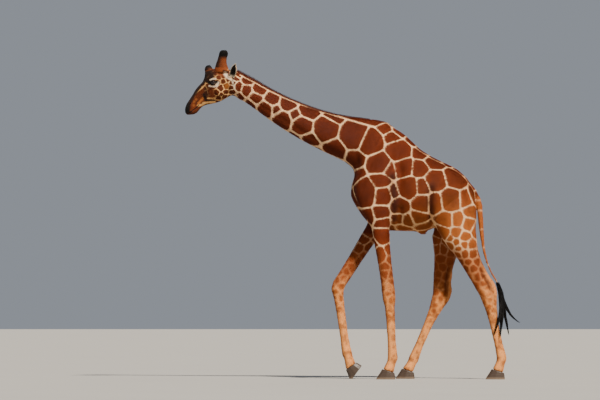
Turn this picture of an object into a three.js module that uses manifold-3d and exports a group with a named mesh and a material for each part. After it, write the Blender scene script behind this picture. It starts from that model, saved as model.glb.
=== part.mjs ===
// A walking bull giraffe, life size, standing on all four feet with its neck lowered and its
// right forefoot tipped on the toe. Millimetres, +Z up. The head points to -X and the left side
// is -Y. The floor is z = 0, and the origin is under the middle of the whole body's box.
import * as THREE from "three";
import { mergeVertices } from "three/addons/utils/BufferGeometryUtils.js";
import Module from "manifold-3d";

const wasm = await Module();
wasm.setup();

// ---------------------------------------------------------------- driving dimensions

const GAP = 0.3; // clear space between neighbouring solids
const BODY_SIDES = 20; // faces around the neck and trunk
const HEAD_SIDES = 16;
const LEG_SIDES = 12;
const TAIL_SIDES = 8;
const TUFT_SIDES = 5;
const HORN_SIDES = 10;
const MANE_SIDES = 6;
const CLAW_SIDES = 10;
const EYE_RINGS = 6;
const FACE_RINGS = 4;
const FOOT_HEIGHT = 95; // from the sole to the middle of the coronet
const LEG_TOP = 1700; // height of the level cut between the trunk and the legs
const EYE_RADIUS = 26;
const EYE = [-1617, -98, 3440]; // centre of the left eyeball
const CLEFT = 7; // space between the two claws of a foot

const COLOUR = {
  coat: 0x9a5228,
  leg: 0xb87440,
  face: 0xa0683c,
  hair: 0x2a1a12,
  horn: 0x3c332b,
  eye: 0x0c0806,
};

// Sections of the neck and trunk, from the throat to the buttocks. Each is a slice seen edge on:
// its back edge x, z, its belly edge x, z, then half its width, how far down it is widest, and the
// powers of its upper and lower halves (2 is round, less is keeled, more is square).
const NECK_AND_TRUNK = [
  [-1267, 3530, -1343, 3273, 98, 0.52, 1.8, 1.9],
  [-1140, 3468, -1233, 3206, 100, 0.52, 1.8, 1.9],
  [-977, 3378, -1105, 3116, 104, 0.52, 1.75, 1.9],
  [-791, 3284, -965, 3011, 110, 0.52, 1.7, 1.95],
  [-605, 3207, -802, 2901, 117, 0.53, 1.7, 1.95],
  [-407, 3132, -628, 2795, 127, 0.54, 1.7, 2],
  [-209, 3078, -430, 2689, 140, 0.55, 1.7, 2],
  [-23, 3048, -233, 2595, 158, 0.56, 1.7, 2],
  [140, 3032, -81, 2521, 180, 0.57, 1.65, 2],
  [256, 3023, 6, 2446, 204, 0.58, 1.6, 2],
  [337, 3013, 23, 2358, 228, 0.6, 1.6, 2],
  [395, 2998, -14, 2243, 250, 0.62, 1.55, 2],
  [436, 2975, -24, 2126, 266, 0.63, 1.55, 2],
  [477, 2944, 25, 2021, 278, 0.64, 1.55, 2],
  [523, 2909, 107, 1893, 288, 0.64, 1.6, 1.9],
  [570, 2885, 211, 1780, 298, 0.63, 1.65, 1.9],
  [628, 2836, 337, 1724, 310, 0.6, 1.7, 1.9],
  [698, 2768, 500, 1721, 332, 0.57, 1.75, 2],
  [791, 2678, 674, 1715, 362, 0.55, 1.8, 2.1],
  [907, 2600, 837, 1716, 380, 0.52, 1.85, 2.1],
  [1023, 2538, 977, 1757, 380, 0.48, 1.85, 2.1],
  [1140, 2484, 1116, 1826, 360, 0.42, 1.8, 2],
  [1233, 2431, 1256, 1872, 326, 0.38, 1.8, 2],
  [1326, 2344, 1360, 1895, 268, 0.36, 1.8, 2],
  [1400, 2240, 1416, 1942, 182, 0.4, 1.9, 2],
  [1424, 2150, 1428, 1990, 90, 0.45, 2, 2],
];

// Where the neck meets the head and the trunk: upper and lower end x, z of each parting.
const NAPE = [[-1326, 3570], [-1378, 3291]];
const NECK_ROOT = [[326, 3020], [22, 2362]];

// Sections of the head, from the lips to inside the neck, in the same form: brow edge, then jaw edge.
const HEAD = [
  [-1940, 3088, -1918, 3072, 20, 0.5, 2, 2],
  [-1948, 3118, -1886, 3074, 40, 0.5, 2.2, 2.4],
  [-1945, 3158, -1842, 3077, 54, 0.48, 2.4, 2.3],
  [-1927, 3204, -1803, 3098, 60, 0.45, 2.5, 2],
  [-1897, 3250, -1768, 3142, 57, 0.45, 2.4, 1.8],
  [-1863, 3302, -1735, 3172, 55, 0.45, 2.3, 1.7],
  [-1829, 3362, -1688, 3189, 59, 0.42, 2.2, 1.6],
  [-1790, 3410, -1636, 3197, 69, 0.38, 2.2, 1.5],
  [-1744, 3456, -1578, 3211, 85, 0.36, 2.3, 1.6],
  [-1721, 3510, -1522, 3232, 97, 0.36, 2.4, 1.7],
  [-1714, 3566, -1473, 3260, 103, 0.38, 2.3, 1.8],
  [-1680, 3604, -1424, 3288, 104, 0.4, 2.2, 1.9],
  [-1605, 3612, -1395, 3297, 103, 0.42, 2.1, 1.9],
  [-1523, 3612, -1372, 3289, 100, 0.45, 2, 1.9],
  [-1442, 3606, -1343, 3274, 96, 0.48, 1.9, 1.9],
  [-1372, 3586, -1314, 3258, 93, 0.5, 1.85, 1.9],
  [-1314, 3560, -1267, 3240, 91, 0.5, 1.8, 1.9],
  [-1233, 3516, -1186, 3205, 88, 0.5, 1.8, 1.9],
];

// Rounded masses on the head's left side, mirrored to the right: centre, half sizes along the face,
// sideways and across the face, and the angle of the face's line above level.
const FACE_SLOPE = 52;
const FACE_MASSES = [
  { at: [-1618, -86, 3474], size: [66, 36, 34] }, // brow above the eye
  { at: [-1630, -84, 3404], size: [52, 28, 26] }, // cheek bone under the eye
  { at: [-1530, -78, 3352], size: [78, 28, 64] }, // muscle of the jaw
  { at: [-1886, -36, 3180], size: [34, 27, 26] }, // rim of the nostril
  { at: [-1868, -36, 3116], size: [36, 24, 30] }, // fold of the lips
];

// The pair of horns, level slices up from inside the skull: height, front x, back x, middle y, half width.
const OSSICONE = [
  [3560, -1622, -1424, 60, 44],
  [3611, -1603, -1436, 64, 46],
  [3640, -1593, -1449, 67, 45],
  [3672, -1584, -1459, 70, 42],
  [3704, -1570, -1464, 73, 40],
  [3738, -1560, -1462, 76, 40],
  [3766, -1552, -1450, 79, 42],
  [3794, -1546, -1445, 82, 41],
  [3812, -1534, -1455, 84, 32],
  [3819, -1512, -1474, 85, 16],
];
const OSSICONE_ROOT = 3618; // height at which the horn becomes a node of its own
const MEDIAN_HORN = {
  base: [-1662, 0, 3548],
  root: [-1670, 0, 3592],
  tip: [-1680, 0, 3648],
  radii: [52, 50, 48, 42, 22],
};

// The left ear: a cupped leaf from its root to its tip, opening outwards and forwards.
const EAR = {
  root: [-1409, -84, 3476],
  tip: [-1356, -180, 3660],
  facing: [-0.5, -0.8, -0.1],
  widths: [24, 34, 43, 46, 40, 26, 8],
  cup: 0.62, // depth of the cup against its width
  wall: 9,
  thinnest: 0.8, // the wall against the half width, towards the tip
  rim: 0.4, // how far the hollow's edge is in from the rim, in walls
  arc: 5, // points across the leaf
  stub: 0.16, // share of the length that belongs to the head
};

// Crest of hair along the back of the neck: its edge x, z, and how deep it reaches towards the throat.
const MANE = [
  [-1340, 3584, 22],
  [-1322, 3608, 42],
  [-1242, 3568, 52],
  [-1128, 3508, 50],
  [-1012, 3436, 46],
  [-895, 3368, 42],
  [-721, 3282, 38],
  [-547, 3210, 36],
  [-372, 3148, 34],
  [-198, 3099, 32],
  [-23, 3066, 28],
  [116, 3048, 24],
  [209, 3034, 16],
];
const MANE_FORM = [17, 0.7, 1.6, 2]; // half width, how deep it is widest, powers of edge and root
const MANE_LEAN = [0.42, -0.91]; // the way from the edge of the crest into the neck

// Each limb hangs on a chain of joints [x, y, z], and takes its thickness from a profile that is
// the same on both sides: place along the chain (1 is the second joint), depth ahead of the chain,
// depth behind it, half width, and the powers of the front and back halves.
const FORE_PROFILE = [
  [0, 120, 116, 92, 2, 2],
  [0.12, 107, 99, 86, 2, 2],
  [0.3, 96, 85, 76, 2, 2],
  [0.55, 84, 79, 65, 2, 2],
  [0.8, 79, 80, 58, 2, 2],
  [0.95, 81, 78, 64, 2.3, 2],
  [1.04, 76, 74, 63, 2.4, 2],
  [1.16, 58, 60, 51, 2.2, 2],
  [1.4, 52, 53, 43, 2, 2.2],
  [1.75, 49, 50, 42, 2, 2.2],
  [1.92, 54, 58, 50, 2, 2],
  [2.05, 57, 66, 56, 2, 2],
  [2.35, 50, 58, 52, 2, 2],
  [2.75, 62, 58, 64, 2, 2],
  [3.2, 78, 62, 78, 2, 2],
];
const HIND_PROFILE = [
  [0, 172, 244, 138, 2, 1.9],
  [0.14, 150, 196, 120, 2, 1.9],
  [0.3, 124, 145, 100, 2, 1.8],
  [0.5, 112, 119, 82, 2, 1.7],
  [0.72, 102, 119, 66, 2, 1.6],
  [0.88, 98, 138, 60, 2, 1.7],
  [0.98, 94, 123, 64, 2, 1.9],
  [1.09, 84, 94, 60, 2, 2],
  [1.22, 67, 72, 50, 2, 2],
  [1.45, 54, 51, 43, 2, 2.2],
  [1.8, 50, 49, 42, 2, 2.2],
  [1.93, 54, 58, 50, 2, 2],
  [2.05, 57, 66, 56, 2, 2],
  [2.35, 50, 58, 52, 2, 2],
  [2.75, 62, 58, 64, 2, 2],
  [3.2, 78, 62, 78, 2, 2],
];

// The fleshy top of each limb, above the first joint: front edge x, z, back edge x, z, middle y,
// half width, and how far back it is widest.
const SHOULDER = [
  [330, 2880, 460, 2880, 84, 28, 0.5],
  [215, 2700, 545, 2700, 150, 70, 0.5],
  [120, 2500, 565, 2500, 186, 92, 0.48],
  [45, 2300, 560, 2300, 196, 104, 0.45],
  [18, 2130, 552, 2130, 197, 110, 0.45],
  [84, 1955, 545, 1965, 192, 112, 0.5],
];
const THIGH = [
  [1110, 2330, 1290, 2310, 128, 78, 0.5],
  [1000, 2235, 1368, 2205, 150, 124, 0.5],
  [922, 2095, 1422, 2100, 168, 156, 0.5],
  [905, 1935, 1446, 1985, 172, 160, 0.52],
  [955, 1760, 1446, 1870, 174, 152, 0.52],
];

const JOINT_ROUNDING = 0.14; // share of a bone over which the section turns into the next

const LEGS = {
  foreleg_left: {
    top: SHOULDER,
    profile: FORE_PROFILE,
    side: -1,
    joints: [[322, 188, 1790], [424, 188, 952], [463, 185, 256], [418, 184, FOOT_HEIGHT]],
    toeTurn: 0,
  },
  foreleg_right: {
    top: SHOULDER,
    profile: FORE_PROFILE,
    side: 1,
    joints: [[292, 186, 1790], [-174, 182, 1068], [-66, 178, 302], [-10, 177, 149]],
    toeTurn: 54,
  },
  hindleg_left: {
    top: THIGH,
    profile: HIND_PROFILE,
    side: -1,
    joints: [[1219, 176, 1650], [1568, 184, 976], [1723, 188, 252], [1684, 188, FOOT_HEIGHT]],
    toeTurn: 0,
  },
  hindleg_right: {
    top: THIGH,
    profile: HIND_PROFILE,
    side: 1,
    joints: [[1102, 178, 1650], [1027, 184, 946], [720, 186, 246], [654, 186, FOOT_HEIGHT]],
    toeTurn: 0,
  },
};

// One claw seen from the side about the middle of the coronet: height, toe x, heel x, half width.
// It is widest behind its middle, with a narrow toe and a square heel.
const CLAW = [
  [-FOOT_HEIGHT - 2, -150, 76, 44],
  [-58, -127, 74, 44],
  [-22, -102, 67, 42],
  [16, -79, 58, 39],
  [48, -60, 46, 33],
];
const CLAW_FORM = [0.62, 1.6, 2.3]; // how far back it is widest, then the powers of toe and heel
const CORONET_SLOPE = 18; // degrees that the coronet falls from front to back

// The tail's bone and skin: points down its middle and the radius at each.
const TAIL = [
  [1378, 0, 2222, 46],
  [1422, 0, 2166, 42],
  [1458, -2, 2096, 37],
  [1482, -6, 2000, 36],
  [1492, -14, 1850, 33],
  [1506, -30, 1674, 27],
  [1527, -48, 1500, 20],
  [1562, -66, 1360, 15],
  [1612, -84, 1236, 13],
  [1668, -98, 1142, 14],
  [1683, -102, 1116, 12],
];
const TAIL_ROOT = { at: [1450, 0, 2118], along: [0.3, 0, -1] };

const SHEATH = { at: [812, 0, 1712], size: [62, 34, 46], slope: -20 }; // under the belly

// Locks of the tail tuft, in the same form as the tail.
const TUFT_LOCKS = [
  [
    [1680, -100, 1126, 20],
    [1722, -120, 1000, 28],
    [1730, -150, 840, 28],
    [1722, -215, 680, 18],
    [1706, -256, 478, 3],
  ],
  [
    [1700, -104, 1080, 18],
    [1740, -130, 900, 20],
    [1772, -160, 700, 13],
    [1810, -190, 506, 3],
  ],
  [
    [1700, -104, 1080, 18],
    [1746, -118, 920, 17],
    [1806, -135, 780, 11],
    [1872, -150, 700, 7],
    [1942, -160, 648, 2],
  ],
  [
    [1712, -110, 1040, 18],
    [1722, -180, 880, 17],
    [1692, -262, 690, 11],
    [1628, -284, 500, 3],
  ],
];

// ---------------------------------------------------------------- lofts

// A smooth curve through rows of numbers: row i is its value at u = i.
function curveThrough(rows) {
  const last = rows.length - 1;
  const slopes = rows.map((row, i) => {
    const lo = Math.max(i - 1, 0);
    const hi = Math.min(i + 1, last);
    return row.map((_, c) => (rows[hi][c] - rows[lo][c]) / (hi - lo));
  });
  return (u) => {
    const i = Math.min(Math.floor(u), last - 1);
    const t = u - i;
    const t2 = t * t;
    const t3 = t2 * t;
    return rows[i].map(
      (p, c) =>
        (2 * t3 - 3 * t2 + 1) * p +
        (t3 - 2 * t2 + t) * slopes[i][c] +
        (3 * t2 - 2 * t3) * rows[i + 1][c] +
        (t3 - t2) * slopes[i + 1][c],
    );
  };
}

// A closed geometry through rings of points that all have the same count.
function skinOf(rings) {
  const sides = rings[0].length;
  const points = rings.flat();
  const index = [];
  for (let r = 0; r + 1 < rings.length; r++) {
    for (let k = 0; k < sides; k++) {
      const a = r * sides + k;
      const b = r * sides + ((k + 1) % sides);
      index.push(a, b, a + sides, b, b + sides, a + sides);
    }
  }
  for (const [ring, start] of [[rings[0], 0], [rings.at(-1), (rings.length - 1) * sides]]) {
    const middle = new THREE.Vector3();
    ring.forEach((p) => middle.addScaledVector(p, 1 / sides));
    points.push(middle);
    for (let k = 0; k < sides; k++) {
      const a = start + k;
      const b = start + ((k + 1) % sides);
      index.push(...(start ? [a, b, points.length - 1] : [b, a, points.length - 1]));
    }
  }
  const geometry = new THREE.BufferGeometry().setFromPoints(points);
  geometry.setIndex(index);
  return geometry;
}

const tetrahedron = (a, b, c) => a.dot(new THREE.Vector3().crossVectors(b, c)) / 6;

// A three.js geometry as a solid, turned outwards if its faces point in.
function solid(geometry) {
  const bare = geometry.clone();
  bare.deleteAttribute("normal");
  bare.deleteAttribute("uv");
  const merged = mergeVertices(bare, 1e-3);
  const triVerts = new Uint32Array(merged.index.array);
  const at = (i) => new THREE.Vector3().fromBufferAttribute(merged.attributes.position, triVerts[i]);
  let volume = 0;
  for (let i = 0; i < triVerts.length; i += 3) volume += tetrahedron(at(i), at(i + 1), at(i + 2));
  if (volume < 0) triVerts.reverse();
  const vertProperties = new Float32Array(merged.attributes.position.array);
  return new wasm.Manifold(new wasm.Mesh({ numProp: 3, vertProperties, triVerts }));
}

// One ring of a section whose edges are a and b, [x, z], in the plane that also holds Y.
function sectionRing(section, sides, grow = 0) {
  const [ax, az, bx, bz, y, half, widest, upper, lower] = section;
  const long = Math.hypot(bx - ax, bz - az);
  const ring = [];
  for (let k = 0; k < sides; k++) {
    const angle = (2 * Math.PI * k) / sides;
    const c = Math.cos(angle);
    const s = Math.sin(angle);
    const power = 2 / (c > 0 ? upper : lower);
    const reach = Math.abs(c) ** power * (1 + (2 * grow) / long);
    const t = c > 0 ? widest * (1 - reach) : widest + (1 - widest) * reach;
    const across = Math.sign(s) * Math.abs(s) ** power * (half + grow);
    ring.push(new THREE.Vector3(ax + (bx - ax) * t, y + across, az + (bz - az) * t));
  }
  return ring;
}

// A closed loft with one ring to a section.
function loftSections(sections, sides, grow = 0) {
  return solid(skinOf(sections.map((section) => sectionRing(section, sides, grow))));
}

// A round-sectioned tube along points [x, y, z, radius]. Each span gets `steps` rings.
function tube(rows, sides, steps) {
  const along = curveThrough(rows);
  const count = (rows.length - 1) * steps;
  const rings = [];
  for (let i = 0; i <= count; i++) {
    const [x, y, z, radius] = along(i / steps);
    const before = along(Math.max(i - 0.5, 0) / steps);
    const after = along(Math.min(i + 0.5, count) / steps);
    const way = new THREE.Vector3(after[0] - before[0], after[1] - before[1], after[2] - before[2]);
    const turn = new THREE.Quaternion().setFromUnitVectors(new THREE.Vector3(0, 0, 1), way.normalize());
    const ring = [];
    for (let k = 0; k < sides; k++) {
      const angle = (2 * Math.PI * k) / sides;
      const spoke = new THREE.Vector3(Math.cos(angle) * radius, Math.sin(angle) * radius, 0);
      ring.push(spoke.applyQuaternion(turn).add(new THREE.Vector3(x, y, z)));
    }
    rings.push(ring);
  }
  return solid(skinOf(rings));
}

const withMiddle = ([ax, az, bx, bz, half, widest, upper, lower]) => [
  ax, az, bx, bz, 0, half, widest, upper, lower,
];

const join = (solids) => solids.reduce((all, one) => all.add(one));
const mirrored = ([x, y, z]) => [x, -y, z];

// The two sides of a plane through `at`, first the side that `normal` points to.
function part(whole, at, normal) {
  const n = new THREE.Vector3(...normal).normalize();
  const offset = n.dot(new THREE.Vector3(...at));
  return [
    whole.trimByPlane([n.x, n.y, n.z], offset + GAP / 2),
    whole.trimByPlane([-n.x, -n.y, -n.z], -offset + GAP / 2),
  ];
}

function ellipsoid(at, size, slope, rings) {
  const geometry = new THREE.SphereGeometry(1, 2 * rings, rings);
  geometry.rotateX(Math.PI / 2);
  geometry.scale(...size);
  geometry.rotateY(THREE.MathUtils.degToRad(-slope));
  geometry.translate(...at);
  return solid(geometry);
}

// ---------------------------------------------------------------- neck and trunk

const trunkRows = NECK_AND_TRUNK.map(withMiddle);
const neckAndTrunk = loftSections(trunkRows, BODY_SIDES);
const bodySpace = loftSections(trunkRows, BODY_SIDES, GAP);

// ---------------------------------------------------------------- limbs

// Sections across a limb's chain of joints, each square to the chain and turned half way at a joint.
function limbSections({ top, profile, side, joints }) {
  const ways = joints.slice(1).map((end, i) => {
    const start = joints[i];
    return new THREE.Vector2(end[0] - start[0], end[2] - start[2]).normalize();
  });
  const chain = profile.map(([u, front, back, half, ahead, behind]) => {
    const bone = Math.min(Math.floor(u), ways.length - 1);
    const t = u - bone;
    const start = joints[bone];
    const end = joints[bone + 1];
    const next = t > 0.5 ? Math.min(bone + 1, ways.length - 1) : Math.max(bone - 1, 0);
    const near = Math.max(0, JOINT_ROUNDING - Math.min(t, Math.abs(1 - t))) / JOINT_ROUNDING / 2;
    const way = ways[bone].clone().lerp(ways[next], near).normalize();
    const x = start[0] + (end[0] - start[0]) * t;
    const y = (start[1] + (end[1] - start[1]) * t) * side;
    const z = start[2] + (end[2] - start[2]) * t;
    const ahead2 = new THREE.Vector2(way.y, -way.x); // towards the head when the way is down
    return [
      x + ahead2.x * front,
      z + ahead2.y * front,
      x - ahead2.x * back,
      z - ahead2.y * back,
      y,
      half,
      front / (front + back),
      ahead,
      behind,
    ];
  });
  const flesh = top.map(([frontX, frontZ, backX, backZ, y, half, widest]) => [
    frontX, frontZ, backX, backZ, y * side, half, widest, 2, 2,
  ]);
  return [...flesh, ...chain];
}

// The coronet's plane of a foot: the point in its middle and the direction up out of the claws.
function coronet({ joints, side, toeTurn }) {
  const foot = joints.at(-1);
  const tilt = THREE.MathUtils.degToRad(CORONET_SLOPE);
  const up = new THREE.Vector3(Math.sin(tilt), 0, Math.cos(tilt));
  up.applyAxisAngle(new THREE.Vector3(0, 1, 0), THREE.MathUtils.degToRad(-toeTurn));
  return { at: [foot[0], foot[1] * side, foot[2]], up: up.toArray() };
}

// The two claws of a foot, outer first, flat where they meet the floor.
function claws(leg) {
  const { at, up } = coronet(leg);
  return [1, -1].map((outer) => {
    const middle = outer * leg.side * (CLEFT / 2 + Math.max(...CLAW.map((row) => row[3])));
    const rows = CLAW.map(([z, toe, heel, half]) => [toe, z, heel, z, middle, half, ...CLAW_FORM]);
    const geometry = skinOf(rows.map((row) => sectionRing(row, CLAW_SIDES)));
    geometry.rotateY(THREE.MathUtils.degToRad(-leg.toeTurn));
    geometry.translate(at[0], at[1], at[2]);
    const below = part(solid(geometry), at, up)[1];
    return below.trimByPlane([0, 0, 1], 0);
  });
}

const nodes = {};
const limbTops = []; // shoulders and thighs, which belong to the trunk
for (const [name, leg] of Object.entries(LEGS)) {
  const limb = loftSections(limbSections(leg), LEG_SIDES);
  const [limbTop, free] = part(limb, [0, 0, LEG_TOP], [0, 0, 1]);
  limbTops.push(limbTop);
  const { at, up } = coronet(leg);
  const [footless] = part(free, at, up);
  const [start, knee, fetlock] = leg.joints.map(([x, , z]) => new THREE.Vector2(x, z));
  const upper = knee.clone().sub(start).normalize();
  const lower = fetlock.clone().sub(knee).normalize();
  const way = upper.add(lower);
  const [belowKnee, aboveKnee] = part(footless, [knee.x, 0, knee.y], [way.x, 0, way.y]);
  nodes[`${name}_upper`] = aboveKnee;
  nodes[`${name}_lower`] = belowKnee;
  const [outer, inner] = claws(leg);
  nodes[`${name}_hoof_outer`] = outer;
  nodes[`${name}_hoof_inner`] = inner;
}

// ---------------------------------------------------------------- tail

const [tailStub, tailFree] = part(tube(TAIL, TAIL_SIDES, 1), TAIL_ROOT.at, TAIL_ROOT.along).reverse();
const tuft = join(TUFT_LOCKS.map((lock) => tube(lock, TUFT_SIDES, 2)));
const tuftSpace = join(
  TUFT_LOCKS.map((lock) => tube(lock.map(([x, y, z, r]) => [x, y, z, r + GAP]), TUFT_SIDES, 2)),
);

// ---------------------------------------------------------------- head

const headRows = HEAD.map(withMiddle);
const headLoft = loftSections(headRows, HEAD_SIDES);
const faceMasses = FACE_MASSES.flatMap(({ at, size }) => [
  ellipsoid(at, size, FACE_SLOPE, FACE_RINGS),
  ellipsoid(mirrored(at), size, FACE_SLOPE, FACE_RINGS),
]);

// Horns are parted at their roots, and the foot of each stays with the head.
function ossicone(side) {
  const rows = OSSICONE.map(([z, front, back, y, half]) => [
    front, z, back, z, y * side, half, 0.5, 2, 2,
  ]);
  return part(loftSections(rows, HORN_SIDES), [0, 0, OSSICONE_ROOT], [0, 0, 1]);
}

function medianHorn() {
  const { base, root, tip, radii } = MEDIAN_HORN;
  const start = new THREE.Vector3(...base);
  const end = new THREE.Vector3(...tip);
  const rows = radii.map((radius, i) => {
    const p = start.clone().lerp(end, i / (radii.length - 1));
    return [p.x, p.y, p.z, radius];
  });
  return part(tube(rows, HORN_SIDES, 1), root, end.sub(start).toArray());
}

// A cupped leaf: each ring runs along the back of the cup and returns along its hollow.
function ear(mirror) {
  const side = new THREE.Vector3(1, mirror ? -1 : 1, 1);
  const root = new THREE.Vector3(...EAR.root).multiply(side);
  const tip = new THREE.Vector3(...EAR.tip).multiply(side);
  const along = tip.clone().sub(root);
  const facing = new THREE.Vector3(...EAR.facing).multiply(side);
  facing.addScaledVector(along, -facing.dot(along) / along.lengthSq()).normalize();
  const across = new THREE.Vector3().crossVectors(along, facing).normalize();
  const rings = EAR.widths.map((half, i) => {
    const middle = root.clone().addScaledVector(along, i / (EAR.widths.length - 1));
    const wall = Math.min(EAR.wall, half * EAR.thinnest);
    const line = (reach, inset) =>
      Array.from({ length: EAR.arc }, (_, k) => {
        const t = (2 * k) / (EAR.arc - 1) - 1;
        const depth = EAR.cup * half * (1 - t * t) - inset;
        return middle.clone().addScaledVector(across, t * reach).addScaledVector(facing, -depth);
      });
    return [...line(half, 0), ...line(half - wall * EAR.rim, wall).reverse()];
  });
  const whole = solid(skinOf(rings));
  const cut = root.clone().addScaledVector(along, EAR.stub);
  return part(whole, cut.toArray(), along.toArray());
}

const [leftHorn, leftHornFoot] = ossicone(-1);
const [rightHorn, rightHornFoot] = ossicone(1);
const [middleHorn, middleHornFoot] = medianHorn();
const [leftEar, leftEarRoot] = ear(false);
const [rightEar, rightEarRoot] = ear(true);
const headSpace = loftSections(headRows, HEAD_SIDES, GAP);

const eyeball = (at, radius) => ellipsoid(at, [radius, radius, radius], 0, EYE_RINGS);
const sockets = join([eyeball(EYE, EYE_RADIUS + GAP), eyeball(mirrored(EYE), EYE_RADIUS + GAP)]);

// ---------------------------------------------------------------- the body, joined and parted

const sheath = ellipsoid(SHEATH.at, SHEATH.size, SHEATH.slope, EYE_RINGS);

const flesh = join([
  neckAndTrunk,
  headLoft,
  ...faceMasses,
  leftHornFoot,
  rightHornFoot,
  middleHornFoot,
  leftEarRoot,
  rightEarRoot,
  ...limbTops,
  tailStub,
  sheath,
]);

// Parts a solid across its width, through two points [x, z]: first what lies behind them.
function partAcross(whole, [ax, az], [bx, bz]) {
  return part(whole, [ax, 0, az], [az - bz, 0, bx - ax]);
}
const [behindNape, head] = partAcross(flesh, ...NAPE);
const [trunk, neck] = partAcross(behindNape, ...NECK_ROOT);
nodes.head = head.subtract(sockets);
nodes.neck = neck;
nodes.trunk = trunk;
const bodyAndBack = bodySpace.add(bodySpace.translate([1, 0, 0])); // clear of its flat end too
nodes.tail = tailFree.subtract(bodyAndBack.add(tuftSpace));
nodes.tail_tuft = tuft;

// ---------------------------------------------------------------- mane

const maneRows = MANE.map(([x, z, deep]) => [
  x, z, x - deep * MANE_LEAN[0], z + deep * MANE_LEAN[1], 0, ...MANE_FORM,
]);
nodes.mane = loftSections(maneRows, MANE_SIDES).subtract(headSpace.add(bodySpace));

nodes.ear_left = leftEar.subtract(headSpace);
nodes.ear_right = rightEar.subtract(headSpace);
nodes.ossicone_left = leftHorn;
nodes.ossicone_right = rightHorn;
nodes.ossicone_median = middleHorn.subtract(headSpace);
nodes.eye_left = eyeball(EYE, EYE_RADIUS);
nodes.eye_right = eyeball(mirrored(EYE), EYE_RADIUS);

// ---------------------------------------------------------------- meshes

const FINISH = [
  [/hoof/, COLOUR.horn, 0.5],
  [/eye/, COLOUR.eye, 0.1],
  [/mane|tuft/, COLOUR.hair, 0.8],
  [/leg/, COLOUR.leg, 0.8],
  [/head|ear|ossicone/, COLOUR.face, 0.8],
  [/./, COLOUR.coat, 0.8],
];

function meshOf(name, body) {
  const { vertProperties, triVerts } = body.getMesh();
  const geometry = new THREE.BufferGeometry();
  geometry.setAttribute("position", new THREE.BufferAttribute(vertProperties, 3));
  geometry.setIndex(new THREE.BufferAttribute(triVerts, 1));
  geometry.computeVertexNormals();
  const [, color, roughness] = FINISH.find(([pattern]) => pattern.test(name));
  const mesh = new THREE.Mesh(geometry, new THREE.MeshStandardMaterial({ color, roughness, metalness: 0 }));
  mesh.name = name;
  return mesh;
}

const giraffe = new THREE.Group();
for (const [name, body] of Object.entries(nodes)) giraffe.add(meshOf(name, body));
const whole = new THREE.Box3().setFromObject(giraffe);
giraffe.position.set(-(whole.min.x + whole.max.x) / 2, -(whole.min.y + whole.max.y) / 2, 0);

export default giraffe;
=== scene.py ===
import math

import bmesh
import bpy
import numpy as np
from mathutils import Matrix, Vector, noise
from mathutils.bvhtree import BVHTree


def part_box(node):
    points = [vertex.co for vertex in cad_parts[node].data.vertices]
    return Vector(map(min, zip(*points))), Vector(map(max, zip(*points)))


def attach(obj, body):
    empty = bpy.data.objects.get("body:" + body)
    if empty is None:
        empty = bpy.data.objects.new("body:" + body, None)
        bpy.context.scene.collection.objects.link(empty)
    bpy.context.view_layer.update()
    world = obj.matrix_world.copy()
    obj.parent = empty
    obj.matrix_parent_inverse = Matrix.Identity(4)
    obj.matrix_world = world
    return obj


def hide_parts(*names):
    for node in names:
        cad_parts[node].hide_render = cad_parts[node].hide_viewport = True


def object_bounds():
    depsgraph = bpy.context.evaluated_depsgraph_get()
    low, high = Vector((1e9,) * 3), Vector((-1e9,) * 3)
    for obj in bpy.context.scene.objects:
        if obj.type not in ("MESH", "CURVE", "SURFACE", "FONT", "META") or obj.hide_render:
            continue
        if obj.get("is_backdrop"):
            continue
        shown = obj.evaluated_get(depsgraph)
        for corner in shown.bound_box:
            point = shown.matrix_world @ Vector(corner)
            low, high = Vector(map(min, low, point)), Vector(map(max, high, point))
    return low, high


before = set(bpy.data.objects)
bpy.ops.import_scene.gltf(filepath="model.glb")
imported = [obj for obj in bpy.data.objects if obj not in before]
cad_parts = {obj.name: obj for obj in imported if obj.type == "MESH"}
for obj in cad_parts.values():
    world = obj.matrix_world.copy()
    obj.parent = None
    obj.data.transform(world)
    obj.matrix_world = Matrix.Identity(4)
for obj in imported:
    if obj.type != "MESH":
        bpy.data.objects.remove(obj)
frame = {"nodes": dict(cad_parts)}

# ------------------------------------------------------------------ the hide's form
# A mounted giraffe is a hide drawn over a carved body form, sewn shut under the belly. One closed
# skin is cast round all the solids of flesh: wide meshes on the body, fine ones on the head, and
# finer still at the eyes, nostrils and lips.
nodes, scene = frame["nodes"], bpy.context.scene
cad_box = [list(corner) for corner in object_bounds()]

LEG_NAMES = ["foreleg_left", "foreleg_right", "hindleg_left", "hindleg_right"]
HORNS = ["ossicone_left", "ossicone_right", "ossicone_median"]
EARS, EYES = ["ear_left", "ear_right"], ["eye_left", "eye_right"]
HOOVES = [f"{leg}_hoof_{claw}" for leg in LEG_NAMES for claw in ("outer", "inner")]
FLESH = ["head", "neck", "trunk", "tail", *EARS]
FLESH += [f"{leg}_{length}" for leg in LEG_NAMES for length in ("upper", "lower")]

BODY_GRID, HEAD_GRID = 0.0154, 0.0056
NAPE_CUT = 0.07  # how far behind the head's own parting the fine grid ends
GRID_GAP = 0.006  # half the gap between the two grids, before it is bridged


def form_of(*meshes):
    form = bmesh.new()
    for mesh in meshes:
        form.from_mesh(mesh)
    return form


def mesh_of(form, name):
    """The form as a mesh; the form itself is done with."""
    mesh = bpy.data.meshes.new(name)
    form.to_mesh(mesh)
    form.free()
    return mesh


def joined_solids(names):
    """These solids as one mesh, their doubled corners merged."""
    form = form_of(*(nodes[name].data for name in names))
    bmesh.ops.remove_doubles(form, verts=form.verts, dist=1e-6)
    return mesh_of(form, "solids")


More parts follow.
